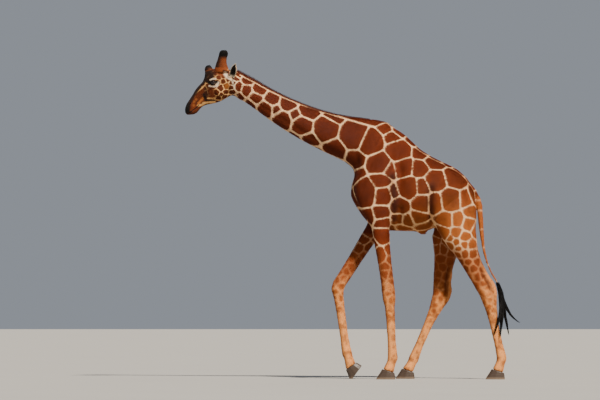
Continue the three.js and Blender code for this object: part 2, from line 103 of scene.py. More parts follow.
def cast_round(names, grid):
    """One closed surface round these solids, in quads of that size."""
    lump = bpy.data.objects.new("cast", joined_solids(names))
    scene.collection.objects.link(lump)
    remesh = lump.modifiers.new("cast", "REMESH")
    remesh.mode, remesh.voxel_size = "VOXEL", grid
    cast = bpy.data.meshes.new_from_object(lump.evaluated_get(bpy.context.evaluated_depsgraph_get()))
    bpy.data.objects.remove(lump)
    return cast


def keep_largest(form):
    """Drops every loose bit but the one with the most corners."""
    seen, islands = set(), []
    for start in form.verts:
        if start in seen:
            continue
        island, front = [], [start]
        seen.add(start)
        while front:
            corner = front.pop()
            island.append(corner)
            fresh = [other for edge in corner.link_edges if (other := edge.other_vert(corner)) not in seen]
            seen.update(fresh)
            front += fresh
        islands.append(island)
    loose = sorted(islands, key=len)[:-1]
    bmesh.ops.delete(form, geom=[corner for island in loose for corner in island], context="VERTS")


def read(items, what, width, kind=np.int32):
    """One property of every item, in rows of that many numbers."""
    flat = np.empty(len(items) * width, kind)
    items.foreach_get(what, flat)
    return flat.reshape(-1, width)


def triangles_of(mesh):
    mesh.calc_loop_triangles()
    return read(mesh.loop_triangles, "vertices", 3)


# The head's parting from the neck: its middle, and its way towards the trunk.
neck_low, neck_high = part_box("neck")
NAPE, NAPE_WAY = Vector((neck_low.x + 0.03, 0, neck_high.z - 0.14)), Vector((0.98, 0, -0.18)).normalized()


def cast_to_nape(names, grid, gap, side):
    """A cast cut off at the nape, on the side of the plane that is given."""
    form = form_of(cast_round(names, grid))
    every, at = [*form.verts, *form.edges, *form.faces], NAPE + NAPE_WAY * (NAPE_CUT + gap)
    cut = {"dist": 1e-6, "plane_co": at, "plane_no": NAPE_WAY * side, "clear_outer": True}
    bmesh.ops.bisect_plane(form, geom=every, **cut)
    keep_largest(form)
    return form


fine = mesh_of(cast_to_nape(["head", "neck", *EARS, *HORNS, *EYES], HEAD_GRID, -GRID_GAP, 1), "fine")
skin_form = cast_to_nape(FLESH, BODY_GRID, GRID_GAP, -1)
skin_form.from_mesh(fine)
bmesh.ops.bridge_loops(skin_form, edges=[edge for edge in skin_form.edges if edge.is_boundary])
bmesh.ops.triangulate(skin_form, faces=[f for f in skin_form.faces if len(f.verts) > 4])
bmesh.ops.recalc_face_normals(skin_form, faces=skin_form.faces)

# Eyelids, nostrils, lips and the thin tail: every face there is quartered.
eye_low, eye_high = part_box("eye_left")
EYE_AT, EYE_RADIUS = np.array((eye_low + eye_high) / 2), (eye_high.x - eye_low.x) / 2
NOSTRIL = np.array(Vector((-1.889, -0.042, 3.192)))
LIPS = [(-1.916, 3.083), (-1.886, 3.097), (-1.852, 3.122), (-1.812, 3.152), (-1.782, 3.184)]
EYE_REACH, NOSTRIL_REACH, LIP_REACH = 0.046, 0.026, 0.011
TAIL_CLEAR = 1.5  # where the tail hangs clear of the rump
tail_low, tail_high = (np.array(corner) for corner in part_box("tail"))
tail_low, tail_high = tail_low - GRID_GAP, tail_high + GRID_GAP


def way_to_line(places, line):
    """Distance of each (x, z) from a chain of points, and how far along the chain that is, 0 to 1."""
    line = np.array(line)
    best, along = np.full(len(places), 1e9), np.zeros(len(places))
    for i, (a, b) in enumerate(zip(line, line[1:])):
        t = np.clip(((places - a) @ (b - a)) / ((b - a) @ (b - a)), 0, 1)
        far = np.linalg.norm(places - a - t[:, None] * (b - a), axis=1)
        along = np.where(far < best, (i + t) / (len(line) - 1), along)
        best = np.where(far < best, far, best)
    return best, along


def in_fine_part(places):
    folded = np.stack([places[:, 0], -np.abs(places[:, 1]), places[:, 2]], axis=1)
    eye = np.linalg.norm(folded - EYE_AT, axis=1) < EYE_REACH
    nostril = np.linalg.norm(folded - NOSTRIL, axis=1) < NOSTRIL_REACH
    lips = way_to_line(places[:, [0, 2]], LIPS)[0] < LIP_REACH
    on_tail = np.all((places > tail_low) & (places < tail_high), axis=1) & (places[:, 0] > TAIL_CLEAR)
    return eye | nostril | lips | on_tail


finer = in_fine_part(np.array([corner.co for corner in skin_form.verts]))
skin_form.verts.index_update()
quartered = [edge for edge in skin_form.edges if all(finer[corner.index] for corner in edge.verts)]
bmesh.ops.subdivide_edges(skin_form, edges=quartered, cuts=1, use_grid_fill=True)
bmesh.ops.triangulate(skin_form, faces=[f for f in skin_form.faces if len(f.verts) > 4])
skin_mesh = mesh_of(skin_form, "hide")

# Which solid each corner of the skin lies on.
OWNERS = [*FLESH, *HORNS]
solid_corners, solid_faces, solid_owner = [], [], []
for owner, name in enumerate(OWNERS):
    shell, start = joined_solids([name]), len(solid_corners)
    solid_corners += [corner.co.copy() for corner in shell.vertices]
    solid_faces += [[start + i for i in face] for face in triangles_of(shell)]
    solid_owner += [owner] * len(shell.loop_triangles)
solids = BVHTree.FromPolygons(solid_corners, solid_faces)

skin_at = read(skin_mesh.vertices, "co", 3, np.float32).astype(float)
owner_of = np.array([solid_owner[solids.find_nearest(Vector(place))[2]] for place in skin_at])
edges, skin_faces = read(skin_mesh.edges, "vertices", 2), triangles_of(skin_mesh)
valence = np.bincount(edges.ravel(), minlength=len(skin_at)).clip(1)


def neighbour_mean(values):
    """The mean of each corner's neighbours, for one number or several to a corner."""
    total = [
        np.bincount(edges[:, 0], column[edges[:, 1]], len(values))
        + np.bincount(edges[:, 1], column[edges[:, 0]], len(values))
        for column in values.reshape(len(values), -1).T
    ]
    return (np.array(total) / valence).T.reshape(values.shape)


def eased(values, rounds, give=0.5):
    """Values that flow into their neighbours, round by round."""
    give = give[:, None] if isinstance(give, np.ndarray) and values.ndim > 1 else give
    for _ in range(rounds):
        values = values + give * (neighbour_mean(values) - values)
    return values


def is_on(*names):
    """Whether each corner lies on one of these solids."""
    return np.isin(owner_of, [OWNERS.index(name) for name in names])


def belongs_to(*names, rounds=6):
    """A soft mask, 1 on the skin of these solids."""
    return eased(is_on(*names).astype(float), rounds)


def normals_of(places):
    a, b, c = (places[skin_faces[:, i]] for i in range(3))
    facing = np.cross(b - a, c - a)
    sums = [
        sum(np.bincount(skin_faces[:, k], facing[:, i], len(places)) for k in range(3)) for i in range(3)
    ]
    normal = np.stack(sums, axis=1)
    return normal / np.linalg.norm(normal, axis=1, keepdims=True).clip(1e-12)


# The flats of the solids are eased away, the shrinking is given back, and the skin then sinks by the
# depth of the coat: 4 mm on the body and a hair on face, ears and feet.
ears, head = belongs_to(*EARS, rounds=2), belongs_to("head", *EARS, *HORNS)
lower_legs = belongs_to(*[f"{leg}_lower" for leg in LEG_NAMES])
upper_legs = belongs_to(*[f"{leg}_upper" for leg in LEG_NAMES])
tail = belongs_to("tail", rounds=2)
slack = 0.5 - 0.42 * lower_legs.clip(0, 1) - 0.28 * upper_legs - 0.44 * tail - 0.12 * head
slack = (slack - 0.3 * ears).clip(0.04, 0.5)
EASING = 40
once = eased(skin_at, EASING, slack)
smooth_at = once + eased(skin_at - once, EASING, slack)
coat_depth = 0.0045 - 0.0015 * upper_legs - 0.0025 * lower_legs - 0.003 * head
coat_depth = (coat_depth - 0.0005 * ears - 0.002 * tail).clip(0.0008)

# Every part is measured along its own middle line: how far along it a corner is, how far out, and
# which way round, 0 on the back of the body or the front of a leg.
LEVEL_STEP = 0.04


def measured_along(names, axis, low, high):
    """Distance along, distance out, angle round and direction for the whole skin, from one middle line."""
    own, levels = skin_at[is_on(*names)], np.arange(low, high, LEVEL_STEP)
    rows = []
    for level in levels:
        slab = own[np.abs(own[:, axis] - level) < LEVEL_STEP * 0.6]
        rows.append((slab.min(0) + slab.max(0)) / 2)
    line = np.array(rows)
    line[:, axis] = levels
    way = np.gradient(line, axis=0)
    way /= np.linalg.norm(way, axis=1, keepdims=True)
    run = np.append(0, np.cumsum(np.linalg.norm(np.diff(line, axis=0), axis=1)))
    at = skin_at[:, axis]
    middle = np.stack([np.interp(at, levels, line[:, i]) for i in range(3)], axis=1)
    along = np.stack([np.interp(at, levels, way[:, i]) for i in range(3)], axis=1)
    along /= np.linalg.norm(along, axis=1, keepdims=True)
    out = skin_at - middle
    over = (out * np.cross(along, (0, 1, 0))).sum(1)
    return (
        np.interp(at, levels, run) + (out * along).sum(1),
        np.hypot(out[:, 1], over),
        np.arctan2(out[:, 1], over),
        along,
    )


LEG_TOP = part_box("foreleg_left_upper")[1].z
measures = {"body": measured_along(["neck", "trunk"], 0, neck_low.x + 0.02, 1.43)}
measures["tail"] = measured_along(["tail"], 2, tail_low[2] + 0.03, tail_high[2] - 0.03)
part_of = np.where(is_on("tail"), "tail", "body").astype("U16")
part_of[is_on("head", *EARS, *HORNS)] = "head"
leg_place = np.zeros(len(skin_at))  # 0 at the top of the free leg, 1 at knee or hock, 2 at the coronet
for leg in LEG_NAMES:
    parts = [f"{leg}_upper", f"{leg}_lower"]
    (upper_low, _), (lower_low, lower_high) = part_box(parts[0]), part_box(parts[1])
    measures[leg] = measured_along(parts, 2, lower_low.z + 0.03, LEG_TOP - 0.02)
    here, knee = is_on(*parts), (upper_low.z + lower_high.z) / 2
    leg_place[here] = np.interp(skin_at[here, 2], [lower_low.z, knee, LEG_TOP], [2, 1, 0])
    part_of[here] = leg

# The head is measured along its own slope, from the poll to the lips.
POLL, MUZZLE = np.array((-1.43, 0, 3.50)), np.array((-1.90, 0, 3.12))
face_way = (POLL - MUZZLE) / np.linalg.norm(POLL - MUZZLE)
from_muzzle = (skin_at - MUZZLE) @ face_way
out = skin_at - MUZZLE - from_muzzle[:, None] * face_way
over = out @ np.cross(face_way, (0, 1, 0))
along = np.tile(face_way, (len(skin_at), 1))
measures["head"] = (from_muzzle, np.hypot(out[:, 1], over), np.arctan2(out[:, 1], over), along)

run, reach, angle = np.zeros((3, len(skin_at)))
lie = np.zeros_like(skin_at)
for part, (part_run, part_reach, part_angle, part_way) in measures.items():
    here = part_of == part
    run[here], reach[here], angle[here] = part_run[here], part_reach[here], part_angle[here]
    lie[here] = part_way[here] * (1 if part in ("body", "head") else -1)

# ------------------------------------------------------------------ muscle, bone and fold
# Under a mounted hide the form is carved with the muscles and bones that show through it. Each
# carving is a line on the side of the body, seen from the left, that swells or sinks the skin.

# Points x, z, then how wide the line is and how high it stands, all in metres.
BODY_CARVING = [
    ([(0.40, 2.87), (0.24, 2.52), (0.10, 2.20)], 0.055, 0.012),  # spine of the shoulder blade
    ([(0.50, 2.62), (0.55, 2.40), (0.53, 2.08)], 0.045, -0.026),  # hollow behind the shoulder
    ([(0.14, 2.86), (0.04, 2.62), (0.05, 2.38)], 0.050, -0.020),  # hollow where neck meets shoulder
    ([(0.44, 2.52), (0.47, 2.20), (0.47, 1.93)], 0.050, 0.008),  # hind edge of the upper arm
    ([(0.49, 1.88), (0.46, 1.80)], 0.035, 0.010),  # point of the elbow
    ([(0.55, 2.02), (0.53, 1.78)], 0.035, -0.026),  # hollow behind the elbow
    ([(0.20, 2.12), (0.34, 1.98)], 0.045, -0.008),  # under the point of the shoulder
    ([(1.17, 2.40), (1.13, 2.36)], 0.050, 0.010),  # point of the hip
    ([(1.06, 2.34), (0.96, 2.22)], 0.070, -0.020),  # hollow of the flank
    ([(0.91, 2.26), (0.888, 2.02), (0.91, 1.80)], 0.028, -0.030),  # fold between belly and thigh
    ([(0.960, 2.16), (0.945, 2.00), (0.975, 1.82)], 0.035, 0.008),  # fore edge of the thigh
    ([(1.30, 2.24), (1.36, 1.98), (1.40, 1.74)], 0.035, -0.009),  # groove down the back of the thigh
    ([(1.20, 2.16), (1.16, 1.86), (1.26, 1.60)], 0.080, 0.006),  # swell of the thigh
    ([(-1.20, 3.26), (-0.66, 2.92), (-0.16, 2.60)], 0.035, -0.011),  # groove of the neck
    ([(-1.05, 3.35), (-0.50, 3.04), (0.02, 2.80)], 0.060, 0.005),  # long muscle of the neck
]
HEAD_CARVING = [
    ([(-1.665, 3.388), (-1.73, 3.33), (-1.795, 3.28)], 0.012, 0.004),  # bony crest of the cheek
    ([(-1.70, 3.40), (-1.745, 3.385)], 0.020, -0.005),  # hollow before the eye
    ([(-1.600, 3.37), (-1.605, 3.30), (-1.63, 3.235)], 0.011, -0.005),  # fore edge of the jaw muscle
    ([(-1.53, 3.53), (-1.50, 3.49)], 0.026, -0.007),  # hollow of the temple
    ([(-1.712, 3.275), (-1.735, 3.235)], 0.012, -0.007),  # hollow behind the corner of the mouth
    ([(-1.64, 3.222), (-1.53, 3.262), (-1.44, 3.30)], 0.012, 0.004),  # edge of the jaw bone
    ([(-1.44, 3.38), (-1.43, 3.31)], 0.020, -0.006),  # hollow behind the jaw
    ([(-1.83, 3.23), (-1.79, 3.215)], 0.018, 0.003),  # fullness of the upper lip
]
RIBS = 9
RIB_TOP, RIB_FOOT, RIB_STEP = (0.60, 2.42), (0.50, 1.86), 0.052

# On the legs: which legs, from and to along the leg, degrees either side of its front, how many
# degrees wide, and how high it stands.
LEG_CARVING = [
    ("fore", 0.15, 0.88, 118, 18, -0.009),  # between the muscle and the tendons of the forearm
    ("fore", 0.93, 1.07, 50, 22, 0.006),  # corners of the knee
    ("fore", 1.10, 1.84, 108, 14, -0.008),  # between cannon bone and tendons
    ("hind", 0.42, 0.95, 132, 17, -0.022),  # in front of the hamstring
    ("hind", 0.30, 0.85, 48, 22, -0.004),  # along the shin
    ("hind", 0.94, 1.10, 78, 22, 0.005),  # sides of the hock
    ("hind", 1.12, 1.84, 108, 14, -0.008),
    ("leg", 1.88, 1.97, 120, 26, 0.003),  # sides of the fetlock
]
RAMP = 0.08  # share of a bone over which a leg carving starts and ends


def smooth_step(value, low, high):
    t = np.clip((value - low) / (high - low), 0, 1)
    return t * t * (3 - 2 * t)


normal = normals_of(smooth_at)
side_view = smooth_at[:, [0, 2]]
faces_side = smooth_step(np.abs(normal[:, 1]), 0.1, 0.7)
height = -coat_depth.copy()
on_body, is_head, on_leg = part_of == "body", part_of == "head", np.isin(part_of, LEG_NAMES)
on_head = head.clip(0, 1) * (1 - ears)
for mask, carving in ((1 - on_head, BODY_CARVING), (on_head, HEAD_CARVING)):
    for line, wide, high in carving:
        far, along = way_to_line(side_view, line)
        ends = smooth_step(along, -0.01, 0.18) * smooth_step(1.01 - along, 0, 0.18)
        height += high * np.exp(-((far / wide) ** 2)) * faces_side * mask * (0.35 + 0.65 * ends)
for rib in range(RIBS):
    shift = rib * RIB_STEP
    line = [(RIB_TOP[0] + shift * 0.8, RIB_TOP[1] - shift * 0.3), (RIB_FOOT[0] + shift, RIB_FOOT[1])]
    far, along = way_to_line(side_view, line)
    fade = smooth_step(along, 0.02, 0.35) * smooth_step(1 - along, 0, 0.3)
    height += 0.0022 * np.exp(-((far / 0.014) ** 2)) * faces_side * on_body * fade
for kind, start, end, turn, spread, high in LEG_CARVING:
    here = np.isin(part_of, [leg for leg in LEG_NAMES if kind in leg])
    span = smooth_step(leg_place, start - RAMP, start + RAMP)
    span *= smooth_step(-leg_place, -end - RAMP, RAMP - end)
    off = (np.abs(np.degrees(angle)) - turn) / spread
    height += here * span * high * np.exp(-(off**2))
breast = np.exp(-((skin_at[:, 1] / 0.035) ** 2)) * smooth_step(-normal[:, 0], 0.5, 0.9) * on_body
height -= 0.012 * breast * smooth_step(skin_at[:, 2], 1.75, 1.9) * smooth_step(-skin_at[:, 2], -2.5, -2.3)
carved_at = smooth_at + normal * eased(height, 2)[:, None]

# The mouth's closed line, and the nostril: a slanting slit sunk between two swollen rims.
NOSTRIL_WAY = (0.62, 0.78)  # x, z, up and back along the slit
NOSTRIL_LONG, NOSTRIL_WIDE = 0.019, 0.0058
far, along = way_to_line(carved_at[:, [0, 2]], LIPS)
mouth = np.exp(-((far / 0.0045) ** 2)) * is_head * smooth_step(1.02 - along, 0, 0.15)
carved_at -= normal * (0.006 * mouth)[:, None]
from_nostril = carved_at[:, [0, 2]] - NOSTRIL[[0, 2]]
up_slit = from_nostril @ NOSTRIL_WAY
over_slit = from_nostril @ (-NOSTRIL_WAY[1], NOSTRIL_WAY[0])
slit = np.hypot(up_slit / NOSTRIL_LONG, (over_slit - 5 * up_slit**2) / NOSTRIL_WIDE)
on_side = smooth_step(np.abs(carved_at[:, 1]), 0.018, 0.028) * is_head
carved_at -= normal * (0.013 * on_side * smooth_step(-slit, -1.25, -0.55))[:, None]
carved_at += normal * (0.0035 * on_side * np.exp(-(((slit - 1.7) / 0.5) ** 2)))[:, None]

# Eyelids: the skin lies on the eyeball round an almond, and dives behind the ball inside it.
LID, EYE_LONG, EYE_HIGH = 0.0036, 0.0225, 0.0135
eye_out, eye_slit = Vector((-0.22, -0.97, 0.08)).normalized(), Vector((1, -0.2, -0.10))
eye_slit = (eye_slit - eye_out * eye_slit.dot(eye_out)).normalized()
eye_up = eye_out.cross(eye_slit)
eye_up = eye_up if eye_up.z > 0 else -eye_up
EYE_SLIT, EYE_UP, EYE_OUT = EYE_FRAME = np.array((eye_slit, eye_up, eye_out))
MIRRORS = {"left": np.array((1, 1, 1)), "right": np.array((1, -1, 1))}

lidded = np.zeros(len(carved_at))
for flip in MIRRORS.values():
    from_eye = carved_at * flip - EYE_AT
    ball = np.linalg.norm(from_eye, axis=1)
    toward = from_eye / ball[:, None].clip(1e-6)
    along, up = toward @ EYE_SLIT * EYE_RADIUS, toward @ EYE_UP * EYE_RADIUS
    lid_line = (1 - (along / EYE_LONG) ** 2).clip(0.001) ** 0.8
    opening = np.maximum(np.abs(up) / (EYE_HIGH * lid_line), np.abs(along) / EYE_LONG)  # 1 at its edge
    rim = EYE_RADIUS + LID * (1 + 0.5 * np.exp(-(((opening - 1.25) / 0.3) ** 2)))
    wanted = np.where(opening < 1, EYE_RADIUS - 0.006, rim)
    hold = smooth_step(-np.maximum(opening - 1, 0), -1.5, -0.5) * smooth_step(toward @ EYE_OUT, 0.15, 0.45)
    hold *= ball < 0.06
    moved = EYE_AT + toward * (ball + (wanted - ball) * hold)[:, None]
    carved_at = np.where(hold[:, None] > 0, moved * flip, carved_at)
    lidded = np.maximum(lidded, hold)

# Nothing but the lids stands out of the solids that the hide is drawn over.
SKIN_MARGIN = 0.0006
for i, place in enumerate(carved_at):
    hit, facing, _, far = solids.find_nearest(Vector(place))
    if (Vector(place) - hit).dot(facing) > -SKIN_MARGIN and far < 0.05 and lidded[i] < 0.05:
        carved_at[i] = hit - facing * SKIN_MARGIN

# The hair lies back along each part, droops on the body, and stands up horns and ears.
normal = normals_of(carved_at)
lie[on_body] += (0, 0, -0.3)
on_horn = is_on(*HORNS)
near_horn = smooth_step(eased(on_horn.astype(float), 14), 0.02, 0.25)
lie += near_horn[:, None] * (0.3, 0, 3)
for ear, outwards in zip(EARS, (-0.45, 0.45)):
    lie[is_on(ear)] = (0.25, outwards, 0.85)
lie = eased(lie, 8)
lie -= normal * (lie * normal).sum(1, keepdims=True)
lie /= np.linalg.norm(lie, axis=1, keepdims=True).clip(1e-9)

# ------------------------------------------------------------------ the markings
# Each patch of a giraffe's coat is a cell that grew from one centre until it met its neighbours, and
# a pale line is left where two of them meet. The centres and sizes on the seen side are this animal's
# own; its other side, belly and inner legs are filled by the same rule.

# Each centre x, z and how strong the cell is, in metres.
NECK_CELLS = """
-1.22 3.47 .047 -1.08 3.37 .07 -.93 3.26 .07 -.75 3.2 .081 -.51 3.12 .093 -.22 3.03 .058
-1.23 3.36 .047 -1.12 3.28 .052 -1.01 3.14 .07 -.81 3.01 .093 -.67 3.07 .035 -.59 2.94 .099
-.3 2.91 .128 -.51 2.77 .07 -.2 2.66 .105 -.89 3.13 .017"""
TRUNK_CELLS = """
.03 2.84 .169 .2 2.77 .151 .37 2.91 .064 .46 2.8 .07 .54 2.65 .128 .32 2.49 .105 .43 2.42 .07
.6 2.45 .116 .77 2.44 .105 .93 2.5 .081 .96 2.3 .122 1.19 2.33 .128 .04 2.55 .093 .05 2.36 .058
.12 2.15 .151 -.01 2.07 .07 .33 2.29 .081 .35 2.12 .099 .47 2.16 .052 .64 2.22 .122 .8 2.23 .087
.54 2 .093 .8 2.03 .093 .76 1.87 .07 .63 1.84 .058 .53 1.87 .058 .96 2.03 .099 1.13 2.07 .128
1.3 2.08 .087 1.4 2.12 .07 .34 1.93 .064"""
BACK_CELLS = """
.55 2.88 .064 .69 2.76 .058 .8 2.65 .07 1.1 2.51 .041 1.37 2.31 .07 .27 3.07 .105
1.49 2.09 .047"""
LEG_CELLS = """
1.08 1.84 .087 1.21 1.84 .081 1.34 1.8 .081 1.36 1.93 .076 1.42 1.72 .052 1.05 1.7 .076
1.2 1.7 .058 1.3 1.65 .058 1.13 1.63 .023 1.2 1.58 .035 1.14 1.55 .029 1.23 1.51 .035
1.3 1.56 .047 1.37 1.56 .047 1.3 1.45 .047 1.23 1.44 .035 1.39 1.45 .047 .36 1.8 .052
.21 1.76 .093 .36 1.67 .081 .30 1.43 .081"""
OTHER_SIDE_SHIFT, OTHER_SIDE_STRAY = (0.06, -0.03), 0.025
rng = np.random.default_rng(11)
skin_tree = BVHTree.FromPolygons(carved_at.tolist(), skin_faces.tolist())


def on_skin(x, z, side):
    """The skin at that place as seen from one side."""
    hit = skin_tree.ray_cast(Vector((x, side * 2, z)), Vector((0, -side, 0)))[0]
    return hit or skin_tree.find_nearest(Vector((x, side * 0.1, z)))[0]


centres = []  # x, y, z and strength
for text, sides in ((NECK_CELLS, 2), (TRUNK_CELLS, 2), (LEG_CELLS, 1), (BACK_CELLS, 0)):
    for x, z, strength in np.array(text.split(), float).reshape(-1, 3):
        seen = on_skin(x, z, -1) if sides else skin_tree.find_nearest(Vector((x, 0, z)))[0]
        centres.append((*seen, strength))
        if sides == 2:
            dx, dz = OTHER_SIDE_SHIFT + rng.normal(0, OTHER_SIDE_STRAY, 2)
            centres.append((*on_skin(x + dx, z + dz, 1), strength))
centres = np.array(centres)
centre_at, strength_of = centres[:, :3], centres[:, 3]

# Where no centre is near, one is dropped in: wide ones under the belly, ever smaller down the legs,
# and a net of small spots on the cheeks.
NECK_SIZE = np.interp(carved_at[:, 0], [-1.42, -1.34, -1.0], [0.022, 0.045, 0.07])
cell_size = np.select(
    [is_head, on_leg, carved_at[:, 0] < -0.3],
    [0.029, np.interp(leg_place, [0, 0.5, 1, 2], [0.055, 0.045, 0.034, 0.028]), NECK_SIZE],
    0.085,
)
fill = rng.permutation(np.flatnonzero(rng.random(len(carved_at)) < 0.25))
for corner in fill:
    size = cell_size[corner]
    reach_of = strength_of + size * 1.15
    if np.all(((centre_at - carved_at[corner]) ** 2).sum(1) > reach_of**2):
        centre_at = np.vstack([centre_at, carved_at[corner]])
        strength_of = np.append(strength_of, size * 0.62)

# How far inside its own cell each corner is, the cells' own corners being rounded off.
NEIGHBOURS = 9
ROUNDING = 0.007
inside = np.zeros(len(carved_at))
cell_of = np.zeros(len(carved_at), int)
for start in range(0, len(carved_at), 4000):
    block = slice(start, start + 4000)
    gap = ((carved_at[block, None] - centre_at) ** 2).sum(2) - strength_of**2
    nearest = np.argpartition(gap, NEIGHBOURS, axis=1)[:, :NEIGHBOURS]
    gap = np.take_along_axis(gap, nearest, axis=1)
    order = np.argsort(gap, axis=1)
    nearest, gap = np.take_along_axis(nearest, order, axis=1), np.take_along_axis(gap, order, axis=1)
    apart = np.linalg.norm(centre_at[nearest[:, 1:]] - centre_at[nearest[:, :1]], axis=2)
    border = (gap[:, 1:] - gap[:, :1]) / (2 * apart)
    rounding = np.minimum(ROUNDING, strength_of[nearest[:, :1]] * 0.12)
    inside[block] = (-rounding * np.log(np.exp(-border / rounding).sum(1, keepdims=True)))[:, 0]
    cell_of[block] = nearest[:, 0]


def dye(red, green, blue):
    """A colour as it looks, 0 to 255, as the light it gives back."""
    shade = np.array((red, green, blue)) / 255
    return np.where(shade < 0.04045, shade / 12.92, ((shade + 0.055) / 1.055) ** 2.4)


# Patch and line colours, and the width of the lines, change slowly from part to part.
NECK_BROWN, BACK_BROWN, FLANK_BROWN = dye(87, 30, 6), dye(97, 35, 7), dye(107, 44, 11)
THIGH_BROWN, LEG_BROWN, SHANK_TAN = dye(157, 84, 33), dye(121, 56, 20), dye(206, 137, 76)
# Painted shade for the hollow behind the elbow and the fold before the thigh.
HOLLOW_PAINTED_SHADE = dye(52, 19, 5)
LEG_ORANGE = dye(158, 86, 34)
LINE_CREAM, BELLY_CREAM, CHEEK_CREAM = dye(226, 186, 142), dye(216, 170, 118), dye(208, 160, 102)

x, z = carved_at[:, 0], carved_at[:, 2]
side_view = carved_at[:, [0, 2]]
patch_colour = np.tile(NECK_BROWN, (len(x), 1))
line_colour = np.tile(LINE_CREAM, (len(x), 1))
WIDTH_FROM = [-1.42, -1.3, -1.1, 0.1, 0.5, 1.4]  # x of the head, and so on to the rump
line_width = np.interp(x, WIDTH_FROM, [0.0045, 0.0065, 0.0098, 0.0090, 0.0066, 0.0086])
softness = np.full(len(x), 0.004)


def brush(where, colour, on="both"):
    """Lays a colour over the patches, the lines between them, or both."""
    global patch_colour, line_colour
    cover = np.clip(where, 0, 1)[:, None]
    if on != "lines":
        patch_colour = patch_colour * (1 - cover) + cover * colour
    if on != "patches":
        line_colour = line_colour * (1 - cover) + cover * colour


def blotches(scale):
    """Soft blotches over the hide, from -1 to 1, with about that many to the metre."""
    return np.array([noise.noise(place) for place in carved_at * scale])


def stroke(line, wide, soft=0.5):
    """A band along a chain of points x, z on either side of the animal: 1 inside its half-width."""
    return 1 - smooth_step(way_to_line(side_view, line)[0], wide * (1 - soft), wide * (1 + soft))


under = smooth_step(-normal[:, 2], 0.1, 0.8)
brush(smooth_step(x, -0.2, 0.4), BACK_BROWN, "patches")
brush(smooth_step(x, 0.4, 0.9) * smooth_step(-z, -2.6, -2.1), FLANK_BROWN, "patches")
brush(smooth_step(x, 0.9, 1.15) * smooth_step(-z, -2.25, -1.8), THIGH_BROWN, "patches")
brush(under * smooth_step(x, 0.2, 0.5) * ~is_head * ~on_leg, BELLY_CREAM, "lines")
brush(under * smooth_step(x, 0.2, 0.5) * ~is_head * 0.6, THIGH_BROWN, "patches")
inward = smooth_step(-normal[:, 1] * np.sign(carved_at[:, 1]), 0.1, 0.8) * (z < 1.9) * ~is_head
for start, end, cover, colour, on in [
    (0.05, 0.45, 1.0, LEG_BROWN, "patches"),
    (0.10, 0.50, 0.85, LEG_ORANGE, "lines"),
    (0.80, 1.15, 1.0, SHANK_TAN, "lines"),
    (0.70, 1.10, 0.85, LEG_ORANGE, "patches"),
    (1.15, 1.55, 1.0, SHANK_TAN, "patches"),
]:
    brush(on_leg * smooth_step(leg_place, start, end) * cover, colour, on)
low_leg, mottling = on_leg * smooth_step(leg_place, 0.5, 0.95), blotches(15) + 0.5 * blotches(34)
brush(low_leg * smooth_step(mottling, 0.0, 0.5) * 0.62, LEG_BROWN)
brush(low_leg * smooth_step(-mottling, 0.05, 0.5) * 0.35, SHANK_TAN * 1.2)
leg_front = on_leg * smooth_step(leg_place, 0.2, 0.6) * (1 - smooth_step(np.abs(angle), 0.3, 1.1))
brush(leg_front * 0.45, LEG_BROWN)
brush(inward * ~on_leg * 0.5, BELLY_CREAM, "lines")
# Painted shade: the inner sides of the upper legs, under the body, are darkened towards leg brown.
brush(inward * on_leg * (1 - smooth_step(leg_place, 0.5, 0.9)) * 0.6, LEG_BROWN)
# Painted shade: the hollow behind the elbow and the fold between belly and thigh are darkened, the patches
# deep brown and the lines towards thigh brown.
BEHIND_ELBOW = [(0.462, 2.34), (0.482, 2.12), (0.478, 1.86)]
STIFLE_FOLD = [(0.910, 2.22), (0.886, 2.02), (0.905, 1.86)]
for line in (BEHIND_ELBOW, STIFLE_FOLD):
    brush(stroke(line, 0.046, 0.95) * ~on_leg * 0.85, HOLLOW_PAINTED_SHADE, "patches")
    brush(stroke(line, 0.035, 0.95) * ~on_leg * 0.45, THIGH_BROWN, "lines")
line_width = np.maximum(line_width * (1 + 0.45 * blotches(9)), np.minimum(line_width, 0.0062))
line_width += 0.005 * under * ~is_head
line_width += on_leg * np.interp(leg_place, [0, 0.6, 1], [-0.0015, 0.0005, 0.003])
softness += on_leg * 0.009 * smooth_step(leg_place, 0.2, 0.8)
tone = rng.normal(1, 0.07, len(centre_at))[cell_of]
centre_shade = 1 - 0.22 * smooth_step(inside, 0.015, 0.09)
patch_colour = patch_colour * (tone * centre_shade)[:, None]
mark = inside - line_width

# The face: dark muzzle, brow and bridge of the nose, brown cheeks in a pale net, a white patch round
# the dark skin of the eye, and white-rimmed ears.
MUZZLE_BROWN, MUZZLE_DARK, LIP_RED = dye(86, 36, 9), dye(30, 14, 7), dye(92, 42, 16)
FACE_BROWN, BROW_DARK, TEMPLE_RED = dye(78, 32, 8), dye(33, 14, 6), dye(84, 32, 9)
EYE_WHITE, EYE_DARK, FACE_CREAM = dye(208, 190, 164), dye(12, 9, 8), dye(204, 156, 94)
HORN_BROWN, HORN_DARK = dye(122, 60, 26), dye(11, 8, 7)
OCHRE, THROAT_WHITE, SKIN_DARK = dye(138, 80, 32), dye(208, 188, 160), dye(14, 9, 7)

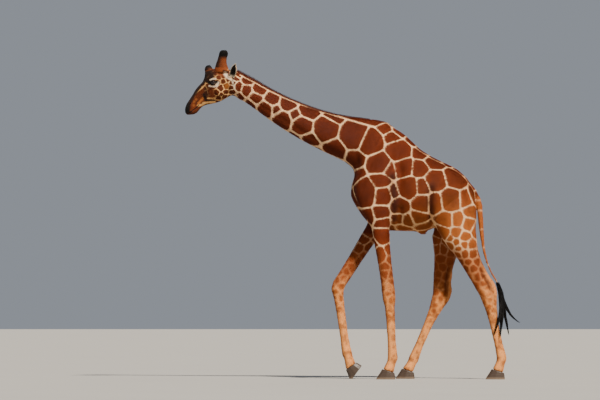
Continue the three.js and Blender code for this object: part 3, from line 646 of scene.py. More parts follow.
face = head.clip(0, 1) * ~is_on(*EARS, *HORNS)
face_side = face * smooth_step(np.abs(normal[:, 1]), 0.12, 0.4)
nose_side = smooth_step(-from_muzzle, -0.34, -0.25)  # 1 before the cheek, 0 behind it
spine = smooth_step(-np.abs(carved_at[:, 1]), -0.05, -0.02) * smooth_step(-normal[:, 0], 0.3, 0.7)
brush(face, CHEEK_CREAM, "lines")
brush(face, FACE_BROWN, "patches")
brush(face * nose_side, FACE_BROWN)
brush(face * stroke([(-1.96, 3.03), (-1.90, 3.16)], 0.085, 0.35), MUZZLE_BROWN)
SPOTS = [  # on the muzzle: x, z, radius and colour
    (-1.868, 3.262, 0.016, OCHRE), (-1.838, 3.222, 0.014, OCHRE), (-1.812, 3.250, 0.013, OCHRE),
    (-1.842, 3.180, 0.012, OCHRE), (-1.858, 3.225, 0.012, BROW_DARK), (-1.826, 3.290, 0.016, OCHRE),
    (-1.812, 3.205, 0.011, BROW_DARK), (-1.880, 3.150, 0.014, BROW_DARK), (-1.795, 3.232, 0.010, BROW_DARK),
    (-1.868, 3.108, 0.012, BROW_DARK), (-1.800, 3.180, 0.010, OCHRE), (-1.835, 3.330, 0.014, FACE_BROWN),
]
for spot_x, spot_z, wide, colour in SPOTS:
    spot = np.hypot(x - spot_x, z - spot_z)
    brush(face_side * 0.6 * (1 - smooth_step(spot, wide * 0.2, wide * 1.7)), colour)
for line, wide, colour, cover in [
    ([(-1.600, 3.620), (-1.510, 3.560)], 0.060, TEMPLE_RED, 1.0),
    ([(-1.560, 3.700), (-1.500, 3.590)], 0.060, HORN_BROWN, 1.0),  # hair at the root of the horns
    ([(-1.690, 3.610), (-1.640, 3.530), (-1.650, 3.490)], 0.050, BROW_DARK, 1.0),
    ([(-1.785, 3.205), (-1.735, 3.262)], 0.012, OCHRE * 1.4, 0.75),  # pale band behind the mouth
    ([(-1.790, 3.178), (-1.735, 3.190)], 0.011, FACE_CREAM, 0.8),
    ([(-1.730, 3.205), (-1.602, 3.222)], 0.013, FACE_CREAM, 1.0),  # pale line under the jaw stripe
    ([(-1.660, 3.205), (-1.700, 3.195)], 0.006, SKIN_DARK, 0.7),
    ([(-1.705, 3.238), (-1.595, 3.240)], 0.009, SKIN_DARK, 0.85),  # jaw stripe
    ([(-1.680, 3.262), (-1.595, 3.266)], 0.007, FACE_CREAM, 0.9),
    ([(-1.800, 3.290), (-1.745, 3.345)], 0.024, FACE_BROWN, 1.0),
    ([(-1.822, 3.318), (-1.722, 3.402)], 0.006, FACE_CREAM, 0.8),  # slanting pale line of the cheek
    ([(-1.690, 3.370), (-1.680, 3.310)], 0.032, BROW_DARK, 0.75),
    ([(-1.640, 3.370), (-1.625, 3.300)], 0.036, FACE_BROWN, 1.0),  # plain brown under the eye
    ([(-1.722, 3.305), (-1.706, 3.262)], 0.018, SKIN_DARK, 0.9),  # painted shade in the hollow behind the mouth
    ([(-1.575, 3.405), (-1.560, 3.440)], 0.016, EYE_WHITE, 0.95),  # white behind and under the eye
    ([(-1.660, 3.404), (-1.600, 3.396)], 0.010, EYE_WHITE, 0.75),
    ([(-1.650, 3.474), (-1.620, 3.484), (-1.585, 3.484)], 0.007, EYE_WHITE, 0.95),
    ([(-1.456, 3.404), (-1.450, 3.406)], 0.026, OCHRE, 1.0),  # the larger spot under the ear
    ([(-1.695, 3.470), (-1.685, 3.462)], 0.012, SKIN_DARK, 0.9),  # inner corner of the eye
    ([(-1.668, 3.442), (-1.575, 3.450)], 0.017, EYE_DARK, 1.0),  # dark lids
    ([(-1.640, 3.432), (-1.600, 3.428)], 0.014, EYE_DARK, 1.0),
    ([(-1.495, 3.580), (-1.445, 3.566)], 0.010, SKIN_DARK, 0.8),  # dark streak before the ear
    ([(-1.475, 3.545), (-1.450, 3.510)], 0.020, THROAT_WHITE, 0.95),  # white fluff under it
    ([(-1.430, 3.490), (-1.385, 3.470)], 0.012, THROAT_WHITE, 0.95),
    ([(-1.400, 3.470), (-1.345, 3.350)], 0.009, THROAT_WHITE, 0.9),
    ([(-1.412, 3.462), (-1.404, 3.452)], 0.011, FACE_BROWN, 0.7),  # dark flecks in the white
    ([(-1.378, 3.428), (-1.372, 3.404)], 0.010, BROW_DARK, 0.7),
    ([(-1.446, 3.520), (-1.440, 3.505)], 0.009, BROW_DARK, 0.6),
]:
    brush(face_side * cover * stroke(line, wide, 0.7), colour)
BRIDGE = [(-1.925, 3.105), (-1.897, 3.216), (-1.847, 3.311), (-1.775, 3.411), (-1.719, 3.483)]
BRIDGE += [(-1.706, 3.572), (-1.697, 3.622)]
brush(face * stroke(BRIDGE, 0.030, 0.35) * 0.95, MUZZLE_DARK)
brush(face * stroke([(-1.730, 3.480), (-1.705, 3.610)], 0.045, 0.45) * 0.95, MUZZLE_DARK)
brush(face * stroke([(-1.37, 3.44), (-1.36, 3.30)], 0.045, 0.6) * 0.8, THROAT_WHITE, "lines")
brush(face * spine * smooth_step(from_muzzle, 0.05, 0.16), MUZZLE_DARK)
brush(face * stroke([(-1.938, 3.215), (-1.918, 3.10)], 0.034, 0.4), SKIN_DARK)
brush(face * stroke([(-1.905, 3.075), (-1.83, 3.075)], 0.020, 0.5), LIP_RED * 0.55)
brush(face * stroke([(-1.900, 3.058), (-1.830, 3.070)], 0.010, 0.5) * 0.9, SKIN_DARK)
brush(face * stroke(LIPS, 0.0055, 0.4) * 0.9, SKIN_DARK)
brush(on_side * (1 - smooth_step(slit, 0.8, 1.9)), SKIN_DARK)
line_width += 0.0025 * face * smooth_step(-normal[:, 2], 0.3, 0.8)

# The eyelids' bare skin is black.
for flip in MIRRORS.values():
    from_eye = carved_at * flip - EYE_AT
    brush(is_head * (1 - smooth_step(np.linalg.norm(from_eye, axis=1), 0.029, 0.034)), EYE_DARK)

# A pale line runs under the mane, with plain brown above it.
CREST = [(-1.30, 3.535), (-1.137, 3.454), (-0.974, 3.361), (-0.835, 3.291), (-0.637, 3.209)]
CREST += [(-0.358, 3.116), (-0.067, 3.023), (0.20, 2.942), (0.281, 2.919)]
crest_x, crest_z = np.array(CREST).T
over_crest = (z - np.interp(x, crest_x, crest_z)) * on_body * (x < 0.25)
brush(smooth_step(over_crest, 0.004, 0.012), NECK_BROWN * 1.1)
brush(on_body * (x < 0.27) * stroke(CREST, 0.0085), LINE_CREAM)

# On each hind leg painted shade darkens the groove that parts the shin from the pale tendon that runs down
# to the heel.
hind_leg = np.char.startswith(part_of, "hind")
groove = np.exp(-(((np.abs(np.degrees(angle)) - 130) / 14) ** 2)) * smooth_step(leg_place, 0.5, 0.7)
brush(hind_leg * groove * smooth_step(-leg_place, -1.0, -0.9) * 0.85, LEG_BROWN * 0.55)
heel = smooth_step(np.abs(np.degrees(angle)), 145, 165) * smooth_step(leg_place, 0.45, 0.65)
brush(hind_leg * heel * smooth_step(-leg_place, -1.15, -0.95) * 0.8, SHANK_TAN * 1.2)

# Ears: white rims and a dark hollow. The tail's stalk is brown, with lines only a little paler. The
# horns are brown, and black at the tip and down the front.
ear_line = is_head * ears
rim_of_ear = ear_line * smooth_step(1 - np.linalg.norm(eased(normal, 3), axis=1), 0.06, 0.24)
ear_hollow = ear_line * smooth_step(np.abs(normal[:, 1]) - 0.6 * normal[:, 0], 0.35, 0.75)
brush(ear_line, dye(172, 132, 88))
brush(ear_hollow, dye(24, 18, 15))
brush(ear_hollow * smooth_step(-z, -3.545, -3.505), dye(196, 180, 156))
brush(rim_of_ear, dye(216, 202, 180))
tail_part = part_of == "tail"
brush(tail_part, THIGH_BROWN, "patches")
brush(tail_part * 0.55, THIGH_BROWN, "lines")
for name in HORNS:
    own, high = is_on(name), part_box(name)[1]
    brush(2 * eased(own.astype(float), 10), HORN_BROWN)
    black = (0.115, 0.065) if name != "ossicone_median" else (0.050, 0.022)
    top = smooth_step(z, high.z - black[0], high.z - black[1])
    front = smooth_step(-normal[:, 0], -0.25, 0.55)
    brush(own * (0.75 if name == "ossicone_median" else 0.25), BROW_DARK)
    brush(own * np.maximum(top, 0.85 * front), HORN_DARK)

lie += normal * (0.5 * rim_of_ear)[:, None] - lie * (0.3 * rim_of_ear)[:, None]

# Hair streaks run along each part.
streak = np.stack([run, reach * np.sin(angle), reach * np.cos(angle)], axis=1)
at_joining = np.zeros(len(x))
at_joining[edges[part_of[edges[:, 0]] != part_of[edges[:, 1]]]] = 1
settled = 1 - smooth_step(eased(at_joining, 6), 0.0, 0.12)
mark[is_head & (nose_side > 0.9)] = -0.01

# The unwrap: each part is opened along its far side and laid flat in a strip of its own.
STRIPS = {  # left, bottom, right, top
    "body": (0.02, 0.52, 0.76, 0.97),
    "head": (0.80, 0.52, 0.98, 0.97),
    "foreleg_left": (0.02, 0.30, 0.48, 0.47),
    "foreleg_right": (0.52, 0.30, 0.98, 0.47),
    "hindleg_left": (0.02, 0.12, 0.48, 0.27),
    "hindleg_right": (0.52, 0.12, 0.98, 0.27),
    "tail": (0.02, 0.03, 0.98, 0.09),
}
flat_place = np.zeros((len(skin_faces), 3, 2))
face_part = part_of[skin_faces[:, 0]]
for part, (left, bottom, right, top) in STRIPS.items():
    faces = face_part == part
    part_run, _, part_angle, _ = measures[part]
    corners = skin_faces[faces]
    low, high = part_run[corners].min(), part_run[corners].max()
    turn = part_angle[corners]
    turn = turn[:, :1] + (turn - turn[:, :1] + math.pi) % math.tau - math.pi
    flat_place[faces, :, 0] = left + (right - left) * (part_run[corners] - low) / (high - low)
    flat_place[faces, :, 1] = bottom + (top - bottom) * (turn / math.tau + 0.5)
flat_place = flat_place.clip(0.001, 0.999)


# How thick and how long the coat is: thin on face and shanks, longer on the ridge of the back, the
# breast, under belly and jaw, and behind the legs.
outward = normal[:, 2]
back_of_leg = on_leg * smooth_step(np.abs(angle), 1.9, 2.7)
ridge = on_body * smooth_step(outward, 0.75, 0.97)
belly = on_body * smooth_step(-outward, 0.6, 0.95)
from_eye = np.linalg.norm(np.abs(carved_at) - np.abs(EYE_AT), axis=1)
bare = is_head * (1 - smooth_step(from_eye, 0.026, 0.034))
bare = np.maximum(bare, on_side * (1 - smooth_step(slit, 1.0, 1.8)))
longer = 1 + 0.6 * ridge + 0.5 * belly + 0.7 * back_of_leg + 0.5 * breast
longer *= np.select([is_head, on_leg], [0.50, np.interp(leg_place, [0, 1, 2], [0.95, 0.7, 0.6])], 1.0)
longer *= np.where(is_head & (from_muzzle < 0.16), 0.6, 1.0)
horn_root = np.where(np.abs(carved_at[:, 1]) < 0.035, -1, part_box("ossicone_left")[0].z)
longer *= np.where(on_horn, 0.55 + 0.45 * smooth_step(z - horn_root, 0.0, 0.07), 1 + 0.7 * near_horn)
under_jaw = stroke([(-1.42, 3.345), (-1.31, 3.29)], 0.03) * smooth_step(-outward, 0.3, 0.8)
longer += 0.7 * rim_of_ear + 0.9 * under_jaw
grown = {
    "neck": on_body & (x < -0.12),
    "shoulder": on_body & (x >= -0.12) & (x < 0.56),
    "rump": on_body & (x >= 0.56),
    "forelegs": np.char.startswith(part_of, "fore"),
    "hindlegs": np.char.startswith(part_of, "hind"),
    "face": is_head,
    "tail": tail_part,
}


def write(mesh, flat=None, **layers):
    """Puts numbers or vectors on a mesh's corners, and the places of its faces' corners on the unwrap."""
    for name, values in layers.items():
        values = np.array(values, np.float32)
        kind, slot = ("FLOAT", "value") if values.ndim == 1 else ("FLOAT_VECTOR", "vector")
        mesh.attributes.new(name, kind, "POINT").data.foreach_set(slot, values.ravel())
    if flat is not None:
        mesh.uv_layers.new(name="OFBake").data.foreach_set("uv", np.array(flat, np.float32).ravel())


hide_mesh = bpy.data.meshes.new("hide")
hide_mesh.from_pydata(carved_at.tolist(), [], skin_faces.tolist())
covers = {f"cover_{place}": here * (1 - bare) for place, here in grown.items()}
singles = {"mark": mark, "softness": softness, "settled": settled, "longer": longer, **covers}
vectors = {"patch": patch_colour, "lines": line_colour, "streak": streak, "lie": lie}
write(hide_mesh, flat_place, **singles, **vectors)


def sum_of(operation, swapped=False):
    """What a sign between two strands does: adds the node that works the sum out."""

    def work(self, other):
        first, second = (other, self) if swapped else (self, other)
        return self.node("ShaderNodeMath", {"operation": operation}, {0: first, 1: second})

    return work


class Strand:
    """A socket of a tree of nodes. Sums written on strands add the nodes that work them out."""

    def __init__(self, tree, socket=None):
        self.tree, self.socket = tree, socket

    def node(self, kind, settings=(), values=(), out=0):
        """Adds a node: its settings first, then the value or link of each socket, by name or place."""
        made = self.tree.nodes.new(kind)
        for name, value in dict(settings).items():
            setattr(made, name, value)
        for name, value in dict(values).items():
            if isinstance(value, Strand):
                self.tree.links.new(value.socket, made.inputs[name])
            else:
                made.inputs[name].default_value = value
        return Strand(self.tree, made.outputs[out])

    __add__, __radd__ = sum_of("ADD"), sum_of("ADD", swapped=True)
    __sub__, __rsub__ = sum_of("SUBTRACT"), sum_of("SUBTRACT", swapped=True)
    __mul__, __truediv__ = sum_of("MULTIPLY"), sum_of("DIVIDE")

    def colour(self, rgb):
        made = self.node("ShaderNodeRGB")
        made.socket.default_value = (*rgb, 1)
        return made

    def parts(self):
        """This vector's x, y and z."""
        parted = self.node("ShaderNodeSeparateXYZ", {}, {0: self})
        return [Strand(self.tree, output) for output in parted.socket.node.outputs]

    def ramp(self, low, high):
        """0 below low and 1 above high, with a soft step between."""
        settings = {"interpolation_type": "SMOOTHSTEP"}
        return self.node("ShaderNodeMapRange", settings, {0: self, 1: low, 2: high})

    def scaled(self, factor):
        """This colour or vector, made that many times as strong."""
        settings = {"operation": "SCALE"}
        return self.node("ShaderNodeVectorMath", settings, {0: self, "Scale": factor})

    def stretched(self, factors):
        return self.node("ShaderNodeVectorMath", {"operation": "MULTIPLY"}, {0: self, 1: factors})

    def mix(self, other, share):
        """This colour giving way to another."""
        return self.node("ShaderNodeMix", {"data_type": "RGBA"}, {0: share, 6: self, 7: other}, out=2)

    def noise(self, scale, detail=2.0):
        """Cloudy noise from 0 to 1 at these coordinates."""
        return self.node("ShaderNodeTexNoise", {}, {"Vector": self, "Scale": scale, "Detail": detail})

    def attribute(self, name, out=2):
        return self.node("ShaderNodeAttribute", {"attribute_name": name}, out=out)


def finish(name, paint, **steady):
    """A material: what varies comes from paint(tree), and what is the same all over is set on the shader."""
    material = bpy.data.materials.new(name)
    material.use_nodes = True
    tree = material.node_tree
    shader = next(node for node in tree.nodes if node.type == "BSDF_PRINCIPLED")
    for socket, value in steady.items():
        shader.inputs[socket.replace("_", " ")].default_value = value
    for socket, strand in paint(Strand(tree)).items():
        tree.links.new(strand.socket, shader.inputs[socket])
    return material


# Short hair: each patch ends in a ragged edge, and the hair lies in fine streaks along the body.
RAGGED, RAGGED_SCALE = 0.007, 45.0
HAIR_BUMP = 0.0012
COARSE_STREAK, FINE_STREAK = (18, 110, 110), (60, 700, 700)


def markings(start, coarse, fine):
    """The colour of the coat: patch and line part in a ragged edge."""
    place = start.node("ShaderNodeTexCoord", out=3)
    wobble = (place.noise(RAGGED_SCALE) - 0.5) * (2 * RAGGED) + (coarse - 0.5) * RAGGED
    on_patch = ((start.attribute("mark") + wobble) / start.attribute("softness")).ramp(-1.0, 1.0)
    colour = start.attribute("lines", out=1).mix(start.attribute("patch", out=1), on_patch)
    return colour.scaled(0.86 + place.noise(9.0) * 0.28)


def short_hair(start):
    along = start.attribute("streak", out=1)
    settled = start.attribute("settled")
    coarse = (along.stretched(COARSE_STREAK).noise(1.0) - 0.5) * settled + 0.5
    fine = (along.stretched(FINE_STREAK).noise(1.0) - 0.5) * settled + 0.5
    colour = markings(start, coarse, fine).scaled(0.66 + coarse * 0.4 + fine * 0.24)
    bump = start.node("ShaderNodeBump", {}, {"Distance": HAIR_BUMP, "Height": coarse * 1.6 + fine})
    return {"Base Color": colour, "Roughness": 0.6 + fine * 0.25, "Normal": bump}


hide_finish = finish("short_hair", short_hair, Sheen_Weight=0.03, Specular_IOR_Level=0.12)


def piece_of(name, mesh, finish, smooth=True):
    """A finished piece in the scene, riding with the body."""
    mesh.materials.clear()
    mesh.materials.append(finish)
    mesh.shade_smooth() if smooth else mesh.shade_flat()
    piece = bpy.data.objects.new(name, mesh)
    scene.collection.objects.link(piece)
    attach(piece, "root")
    return piece


# The horns are bone under the same hide. They part from it at their roots, as pieces of their own.
ear_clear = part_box("ear_left")[0].x - 0.003
median_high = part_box("ossicone_median")[1]
HORN_ROOT = Vector((0, 0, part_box("ossicone_left")[0].z - 0.0003))
MEDIAN_ROOT = Vector((-1.6676, 0, 3.598))
UPRIGHT, MEDIAN_WAY = Vector((0, 0, 1)), Vector((-0.29, 0, 1)).normalized()


def is_median(face):
    middle = face.calc_center_median()
    return middle.x < median_high.x + 0.01 and abs(middle.y) < 0.06


def past_root(face, slack=0.0):
    """Whether a face lies past the plane where its horn parts from the head."""
    middle = face.calc_center_median()
    at, way = (MEDIAN_ROOT, MEDIAN_WAY) if is_median(face) else (HORN_ROOT, UPRIGHT)
    return middle.x < ear_clear and (middle - at).dot(way) > -slack


hide_form = form_of(hide_mesh)
for median, at, way in ((True, MEDIAN_ROOT, MEDIAN_WAY), (False, HORN_ROOT, UPRIGHT)):
    zone = [face for face in hide_form.faces if past_root(face, 0.02) and is_median(face) == median]
    geometry = list({corner for face in zone for corner in face.verts})
    geometry += list({edge for face in zone for edge in face.edges}) + zone
    bmesh.ops.bisect_plane(hide_form, geom=geometry, dist=1e-6, plane_co=at, plane_no=way)
bmesh.ops.triangulate(hide_form, faces=[face for face in hide_form.faces if len(face.verts) > 3])


def horn_of(face):
    """Which horn a face belongs to, or None for the rest of the hide."""
    if not past_root(face):
        return None
    if is_median(face):
        return "ossicone_median"
    return "ossicone_left" if face.calc_center_median().y < 0 else "ossicone_right"


owner_of_face = [horn_of(face) for face in hide_form.faces]
horn_meshes = {}
for horn in (None, *HORNS):
    form = hide_form.copy()
    form.faces.ensure_lookup_table()
    strange = [form.faces[i] for i, owner in enumerate(owner_of_face) if owner != horn]
    bmesh.ops.delete(form, geom=strange, context="FACES")
    keep_largest(form)
    rim = [edge for edge in form.edges if edge.is_boundary]
    for edge in rim:
        edge.smooth = False
    bmesh.ops.triangle_fill(form, edges=rim, use_beauty=True)
    bmesh.ops.recalc_face_normals(form, faces=form.faces)
    mesh = mesh_of(form, horn or "hide")
    if horn:
        horn_meshes[horn] = mesh
    else:
        hide_mesh = mesh
    piece = piece_of(f"hide_{horn}" if horn else "hide", mesh, hide_finish)
    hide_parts(*([horn] if horn else FLESH))

# ------------------------------------------------------------------ the coat
# Real hair is left on the hide: short, stiff and lying flat. Where it shows as hair it is built as
# fine tufts, each a thin closed spike rooted in the hide and lying along the body.


def hair_tree():
    """Tufts on a surface that says, corner by corner, where they grow, which way and how long."""
    tree = bpy.data.node_groups.new("hair", "GeometryNodeTree")
    faces = tree.interface
    faces.new_socket("Surface", in_out="INPUT", socket_type="NodeSocketGeometry")
    inputs = [("Cover", "String"), ("Density", "Float"), ("Length", "Float"), ("Width", "Float")]
    inputs += [("Lift", "Float"), ("Stray", "Float"), ("Bend", "Float"), ("Joints", "Int")]
    inputs += [("Seed", "Int"), ("Finish", "Material")]
    for name, kind in inputs:
        faces.new_socket(name, in_out="INPUT", socket_type=f"NodeSocket{kind}")
    faces.new_socket("Hair", in_out="OUTPUT", socket_type="NodeSocketGeometry")
    group_input = tree.nodes.new("NodeGroupInput")
    given = {socket.name: Strand(tree, socket) for socket in group_input.outputs}
    start = Strand(tree)

    def named(name, kind="FLOAT"):
        return start.node("GeometryNodeInputNamedAttribute", {"data_type": kind}, {"Name": name})

    def random(low, high, kind="FLOAT", seed=0):
        first = 2 if kind == "FLOAT" else 0  # the node keeps two sockets for each kind
        values = {first: low, first + 1: high, "Seed": given["Seed"] + seed}
        return start.node("FunctionNodeRandomValue", {"data_type": kind}, values, out=first // 2)

    def store(geometry, name, value, kind="FLOAT", domain="POINT"):
        settings = {"data_type": kind, "domain": domain}
        values = {0: geometry, "Name": name, "Value": value}
        return start.node("GeometryNodeStoreNamedAttribute", settings, values)

    def vector_sum(first, second):
        return start.node("ShaderNodeVectorMath", {"operation": "ADD"}, {0: first, 1: second})

    cover = named(given["Cover"])
    scatter = {"Mesh": given["Surface"], "Density": cover * given["Density"], "Seed": given["Seed"]}
    roots = start.node("GeometryNodeDistributePointsOnFaces", {}, scatter)
    facing = Strand(tree, roots.socket.node.outputs["Normal"])
    roots = store(roots, "root", named("OFBake", "FLOAT_VECTOR"), "FLOAT_VECTOR")
    roots = store(roots, "tone", random(0.0, 1.0, seed=1))
    stray = random((-1, -1, -1), (1, 1, 1), "FLOAT_VECTOR", seed=2).scaled(given["Stray"])
    way = vector_sum(vector_sum(named("lie", "FLOAT_VECTOR"), facing.scaled(given["Lift"])), stray)
    upright = start.node("FunctionNodeAlignRotationToVector", {"axis": "Z"}, {"Vector": way})
    turned = {"Rotation": upright, "Vector": facing}
    upright = start.node("FunctionNodeAlignRotationToVector", {"axis": "Y", "pivot_axis": "Z"}, turned)

    cone = {"Vertices": 3, "Side Segments": given["Joints"], "Radius Top": 0.0, "Radius Bottom": 0.5}
    spike = start.node("GeometryNodeMeshCone", {"fill_type": "NGON"}, {**cone, "Depth": 1.0})
    across, flat_way, height = start.node("GeometryNodeInputPosition").parts()
    local = start.node("ShaderNodeCombineXYZ", {}, {0: across + 0.5, 1: height, 2: flat_way + 0.5})
    spike = store(spike, "grow", local, "FLOAT_VECTOR")
    bent = start.node("ShaderNodeCombineXYZ", {}, {1: height * height * given["Bend"]})
    spike = start.node("GeometryNodeSetPosition", {}, {"Geometry": spike, "Offset": bent})

    long = given["Length"] * named("longer") * random(0.65, 1.25, seed=3)
    wide = given["Width"] * random(0.7, 1.3, seed=4)
    size = start.node("ShaderNodeCombineXYZ", {}, {0: wide, 1: wide * 0.6, 2: long})
    planted = {"Points": roots, "Instance": spike, "Rotation": upright, "Scale": size}
    hair = start.node("GeometryNodeInstanceOnPoints", {}, planted)
    hair = start.node("GeometryNodeRealizeInstances", {}, {"Geometry": hair})
    across, height, flat_way = named("grow", "FLOAT_VECTOR").parts()
    local = start.node("ShaderNodeCombineXYZ", {}, {0: across, 1: height * 0.75 + flat_way * 0.25})
    flat = vector_sum(named("root", "FLOAT_VECTOR"), local.scaled(PATCH_SIZE))
    hair = store(hair, "OFBake", flat, "FLOAT2", "CORNER")
    hair = start.node("GeometryNodeSetMaterial", {}, {"Geometry": hair, "Material": given["Finish"]})
    group_output = tree.nodes.new("NodeGroupOutput")
    tree.links.new(hair.socket, group_output.inputs[0])
    return tree


PATCH_SIZE = 0.003  # the side of one tuft's patch on the unwrap
SPARE_LAYERS = ("root", "lie", "longer", "streak", "settled", "UVMap")
HAIR_TREE = hair_tree()


def grow_hair(name, surface_mesh, slot, **inputs):
    """Hair grown on a surface, made a plain mesh and a piece of its own."""
    ground = bpy.data.objects.new(f"{name}_ground", surface_mesh)
    scene.collection.objects.link(ground)
    growth = ground.modifiers.new("hair", "NODES")
    growth.node_group = HAIR_TREE
    for item in HAIR_TREE.interface.items_tree:
        if item.name in inputs:
            growth[item.identifier] = inputs[item.name]
    evaluated = ground.evaluated_get(bpy.context.evaluated_depsgraph_get())
    hair = bpy.data.meshes.new_from_object(evaluated)
    bpy.data.objects.remove(ground)
    for layer in [layer.name for layer in hair.attributes]:
        if layer.startswith("cover") or layer in SPARE_LAYERS:
            hair.attributes.remove(hair.attributes[layer])
    piece = piece_of(name, hair, inputs["Finish"], smooth=False)
    return piece


# A tuft is darker at its root, and no two are quite alike.
def coat_hair(start):
    tone = start.attribute("tone")
    height = start.attribute("grow", out=1).parts()[1]
    colour = markings(start, tone, tone).scaled(0.66 + tone * 0.42 + height * 0.22)
    return {"Base Color": colour, "Roughness": 0.58 + tone * 0.22}


coat_finish = finish("coat_hair", coat_hair, Sheen_Weight=0.03, Specular_IOR_Level=0.12)
for i, (place, density, length, width) in enumerate([
    ("neck", 22000, 0.021, 0.0030),
    ("shoulder", 20000, 0.022, 0.0032),
    ("rump", 20000, 0.022, 0.0032),
    ("forelegs", 26000, 0.018, 0.0026),
    ("hindlegs", 26000, 0.018, 0.0026),
    ("face", 66000, 0.015, 0.0018),
    ("tail", 40000, 0.020, 0.0024),
]):
    coat = {"Cover": f"cover_{place}", "Density": float(density), "Length": length, "Width": width}
    coat |= {"Lift": 0.13, "Stray": 0.13, "Bend": 0.0, "Joints": 1, "Seed": 20 + i}
    slot = "coat_leg" if "legs" in place else "coat_face" if place == "face" else "coat"
    grow_hair(f"coat_{place}", hide_mesh, slot, Finish=coat_finish, **coat)
for i, horn in enumerate(HORNS):
    coat = {"Cover": "cover_face", "Density": 70000.0, "Length": 0.030, "Width": 0.0019}
    coat |= {"Lift": 0.16, "Stray": 0.16, "Bend": 0.0, "Joints": 1, "Seed": 40 + i}
    grow_hair(f"coat_{horn}", horn_meshes[horn], "coat_face", Finish=coat_finish, **coat)

# ------------------------------------------------------------------ eyes
# A mounted animal's eyes are glass: a dark brown iris round a level pupil, painted behind a clear
# bulging front, set in clay under the lids.
CORNEA_BULGE, IRIS_WIDE, PUPIL_LONG, PUPIL_HIGH = 0.0016, 0.62, 0.42, 0.26
EYE_RINGS, EYE_SIDES = 28, 40


def eye_paint(start):
    iris = start.attribute("iris", out=1)
    spread = start.node("ShaderNodeVectorMath", {"operation": "LENGTH"}, {0: iris}, out=1)
    along, up, _ = iris.parts()
    along, up = along / PUPIL_LONG, up / PUPIL_HIGH
    pupil = 1 - (along * along + up * up).ramp(0.8, 1.15)
    fibre = iris.stretched((14, 14, 1)).noise(1.0, 4.0)
    brown, past_iris = start.colour(dye(38, 19, 10)), spread.ramp(IRIS_WIDE, IRIS_WIDE + 0.1)
    white = brown.scaled(fibre * 1.6).mix((0.10, 0.06, 0.045, 1), past_iris)
    return {"Base Color": white.mix((0.003, 0.003, 0.004, 1), pupil)}


gloss = {"Roughness": 0.08, "Specular_IOR_Level": 0.3, "Coat_Weight": 0.6, "Coat_Roughness": 0.02}
eye_finish = finish("glass_eye", eye_paint, **gloss)
for node, flip in zip(EYES, MIRRORS.values()):
    form = bmesh.new()
    bmesh.ops.create_uvsphere(form, u_segments=EYE_SIDES, v_segments=EYE_RINGS, radius=1)
    unit = np.array([corner.co for corner in form.verts])
    bulge = CORNEA_BULGE * np.exp(-(((1 - unit[:, 2]) / 0.12) ** 2))
    placed = (EYE_AT + (unit * (EYE_RADIUS - 0.0004 + bulge)[:, None]) @ EYE_FRAME) * flip
    for corner, place in zip(form.verts, placed):
        corner.co = place
    bmesh.ops.recalc_face_normals(form, faces=form.faces)
    mesh = mesh_of(form, node)
    write(mesh, iris=np.where(unit[:, 2:] > 0, unit * (1, 1, 0), (1, 1, 0)))
    eye = piece_of(f"glass_{node}", mesh, eye_finish)
    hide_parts(node)


# The edge of each lid is a rounded rim of bare black skin, and lashes stand along the upper one.
def ring_tube(name, line, radius, sides=8):
    """A tube along a chain of points that closes on itself."""
    way = np.roll(line, -1, axis=0) - np.roll(line, 1, axis=0)
    way /= np.linalg.norm(way, axis=1, keepdims=True)
    side_way = np.cross(way, np.where(np.abs(way[:, 1:2]) < 0.9, (0, 1, 0), (1, 0, 0)))
    side_way /= np.linalg.norm(side_way, axis=1, keepdims=True)
    up_way = np.cross(way, side_way)
    turns = (np.arange(sides) * math.tau / sides)[:, None]
    rings = line[:, None] + radius * (side_way[:, None] * np.cos(turns) + up_way[:, None] * np.sin(turns))
    faces = []
    for i in range(len(line)):
        here, ahead = i * sides, (i + 1) % len(line) * sides
        for k in range(sides):
            m = (k + 1) % sides
            faces.append((here + k, here + m, ahead + m, ahead + k))
    mesh = bpy.data.meshes.new(name)
    mesh.from_pydata(rings.reshape(-1, 3).tolist(), [], faces)
    return mesh


def hair_strip(name, places, wide, flat, **layers):
    """Ground for hair in rows of that many corners, each corner with its place on the unwrap."""
    quads = [(i, i + 1, i + wide + 1, i + wide) for i in range(len(places) - wide) if (i + 1) % wide]
    strip = bpy.data.meshes.new(name)
    strip.from_pydata(places.tolist(), [], quads)
    write(strip, np.array(flat, np.float32)[:, np.ravel(quads)].T * 0.96 + 0.02, **layers)
    return strip


def bare_skin(start):
    place = start.node("ShaderNodeTexCoord", out=3)
    pores = place.noise(420.0, 3.0)
    bump = start.node("ShaderNodeBump", {}, {"Distance": 0.0006, "Height": pores})
    black = start.colour(dye(26, 19, 16)).scaled(0.6 + pores * 0.8)
    return {"Base Color": black, "Roughness": 0.3 + pores * 0.3, "Normal": bump}


skin_finish = finish("bare_skin", bare_skin)


def dark_hair(root_colour, tip_colour, turn=(0.35, 0.8)):
    """Hair of one colour at the root and another at the tip."""

    def paint(start):
        tone = start.attribute("tone")
        height = start.attribute("grow", out=1).parts()[1]
        at_tip = (height + (tone - 0.5) * 0.25).ramp(*turn)
        colour = start.colour(root_colour).mix((*tip_colour, 1), at_tip)
        return {"Base Color": colour.scaled(0.7 + tone * 0.6), "Roughness": 0.4 + tone * 0.2}

    return paint


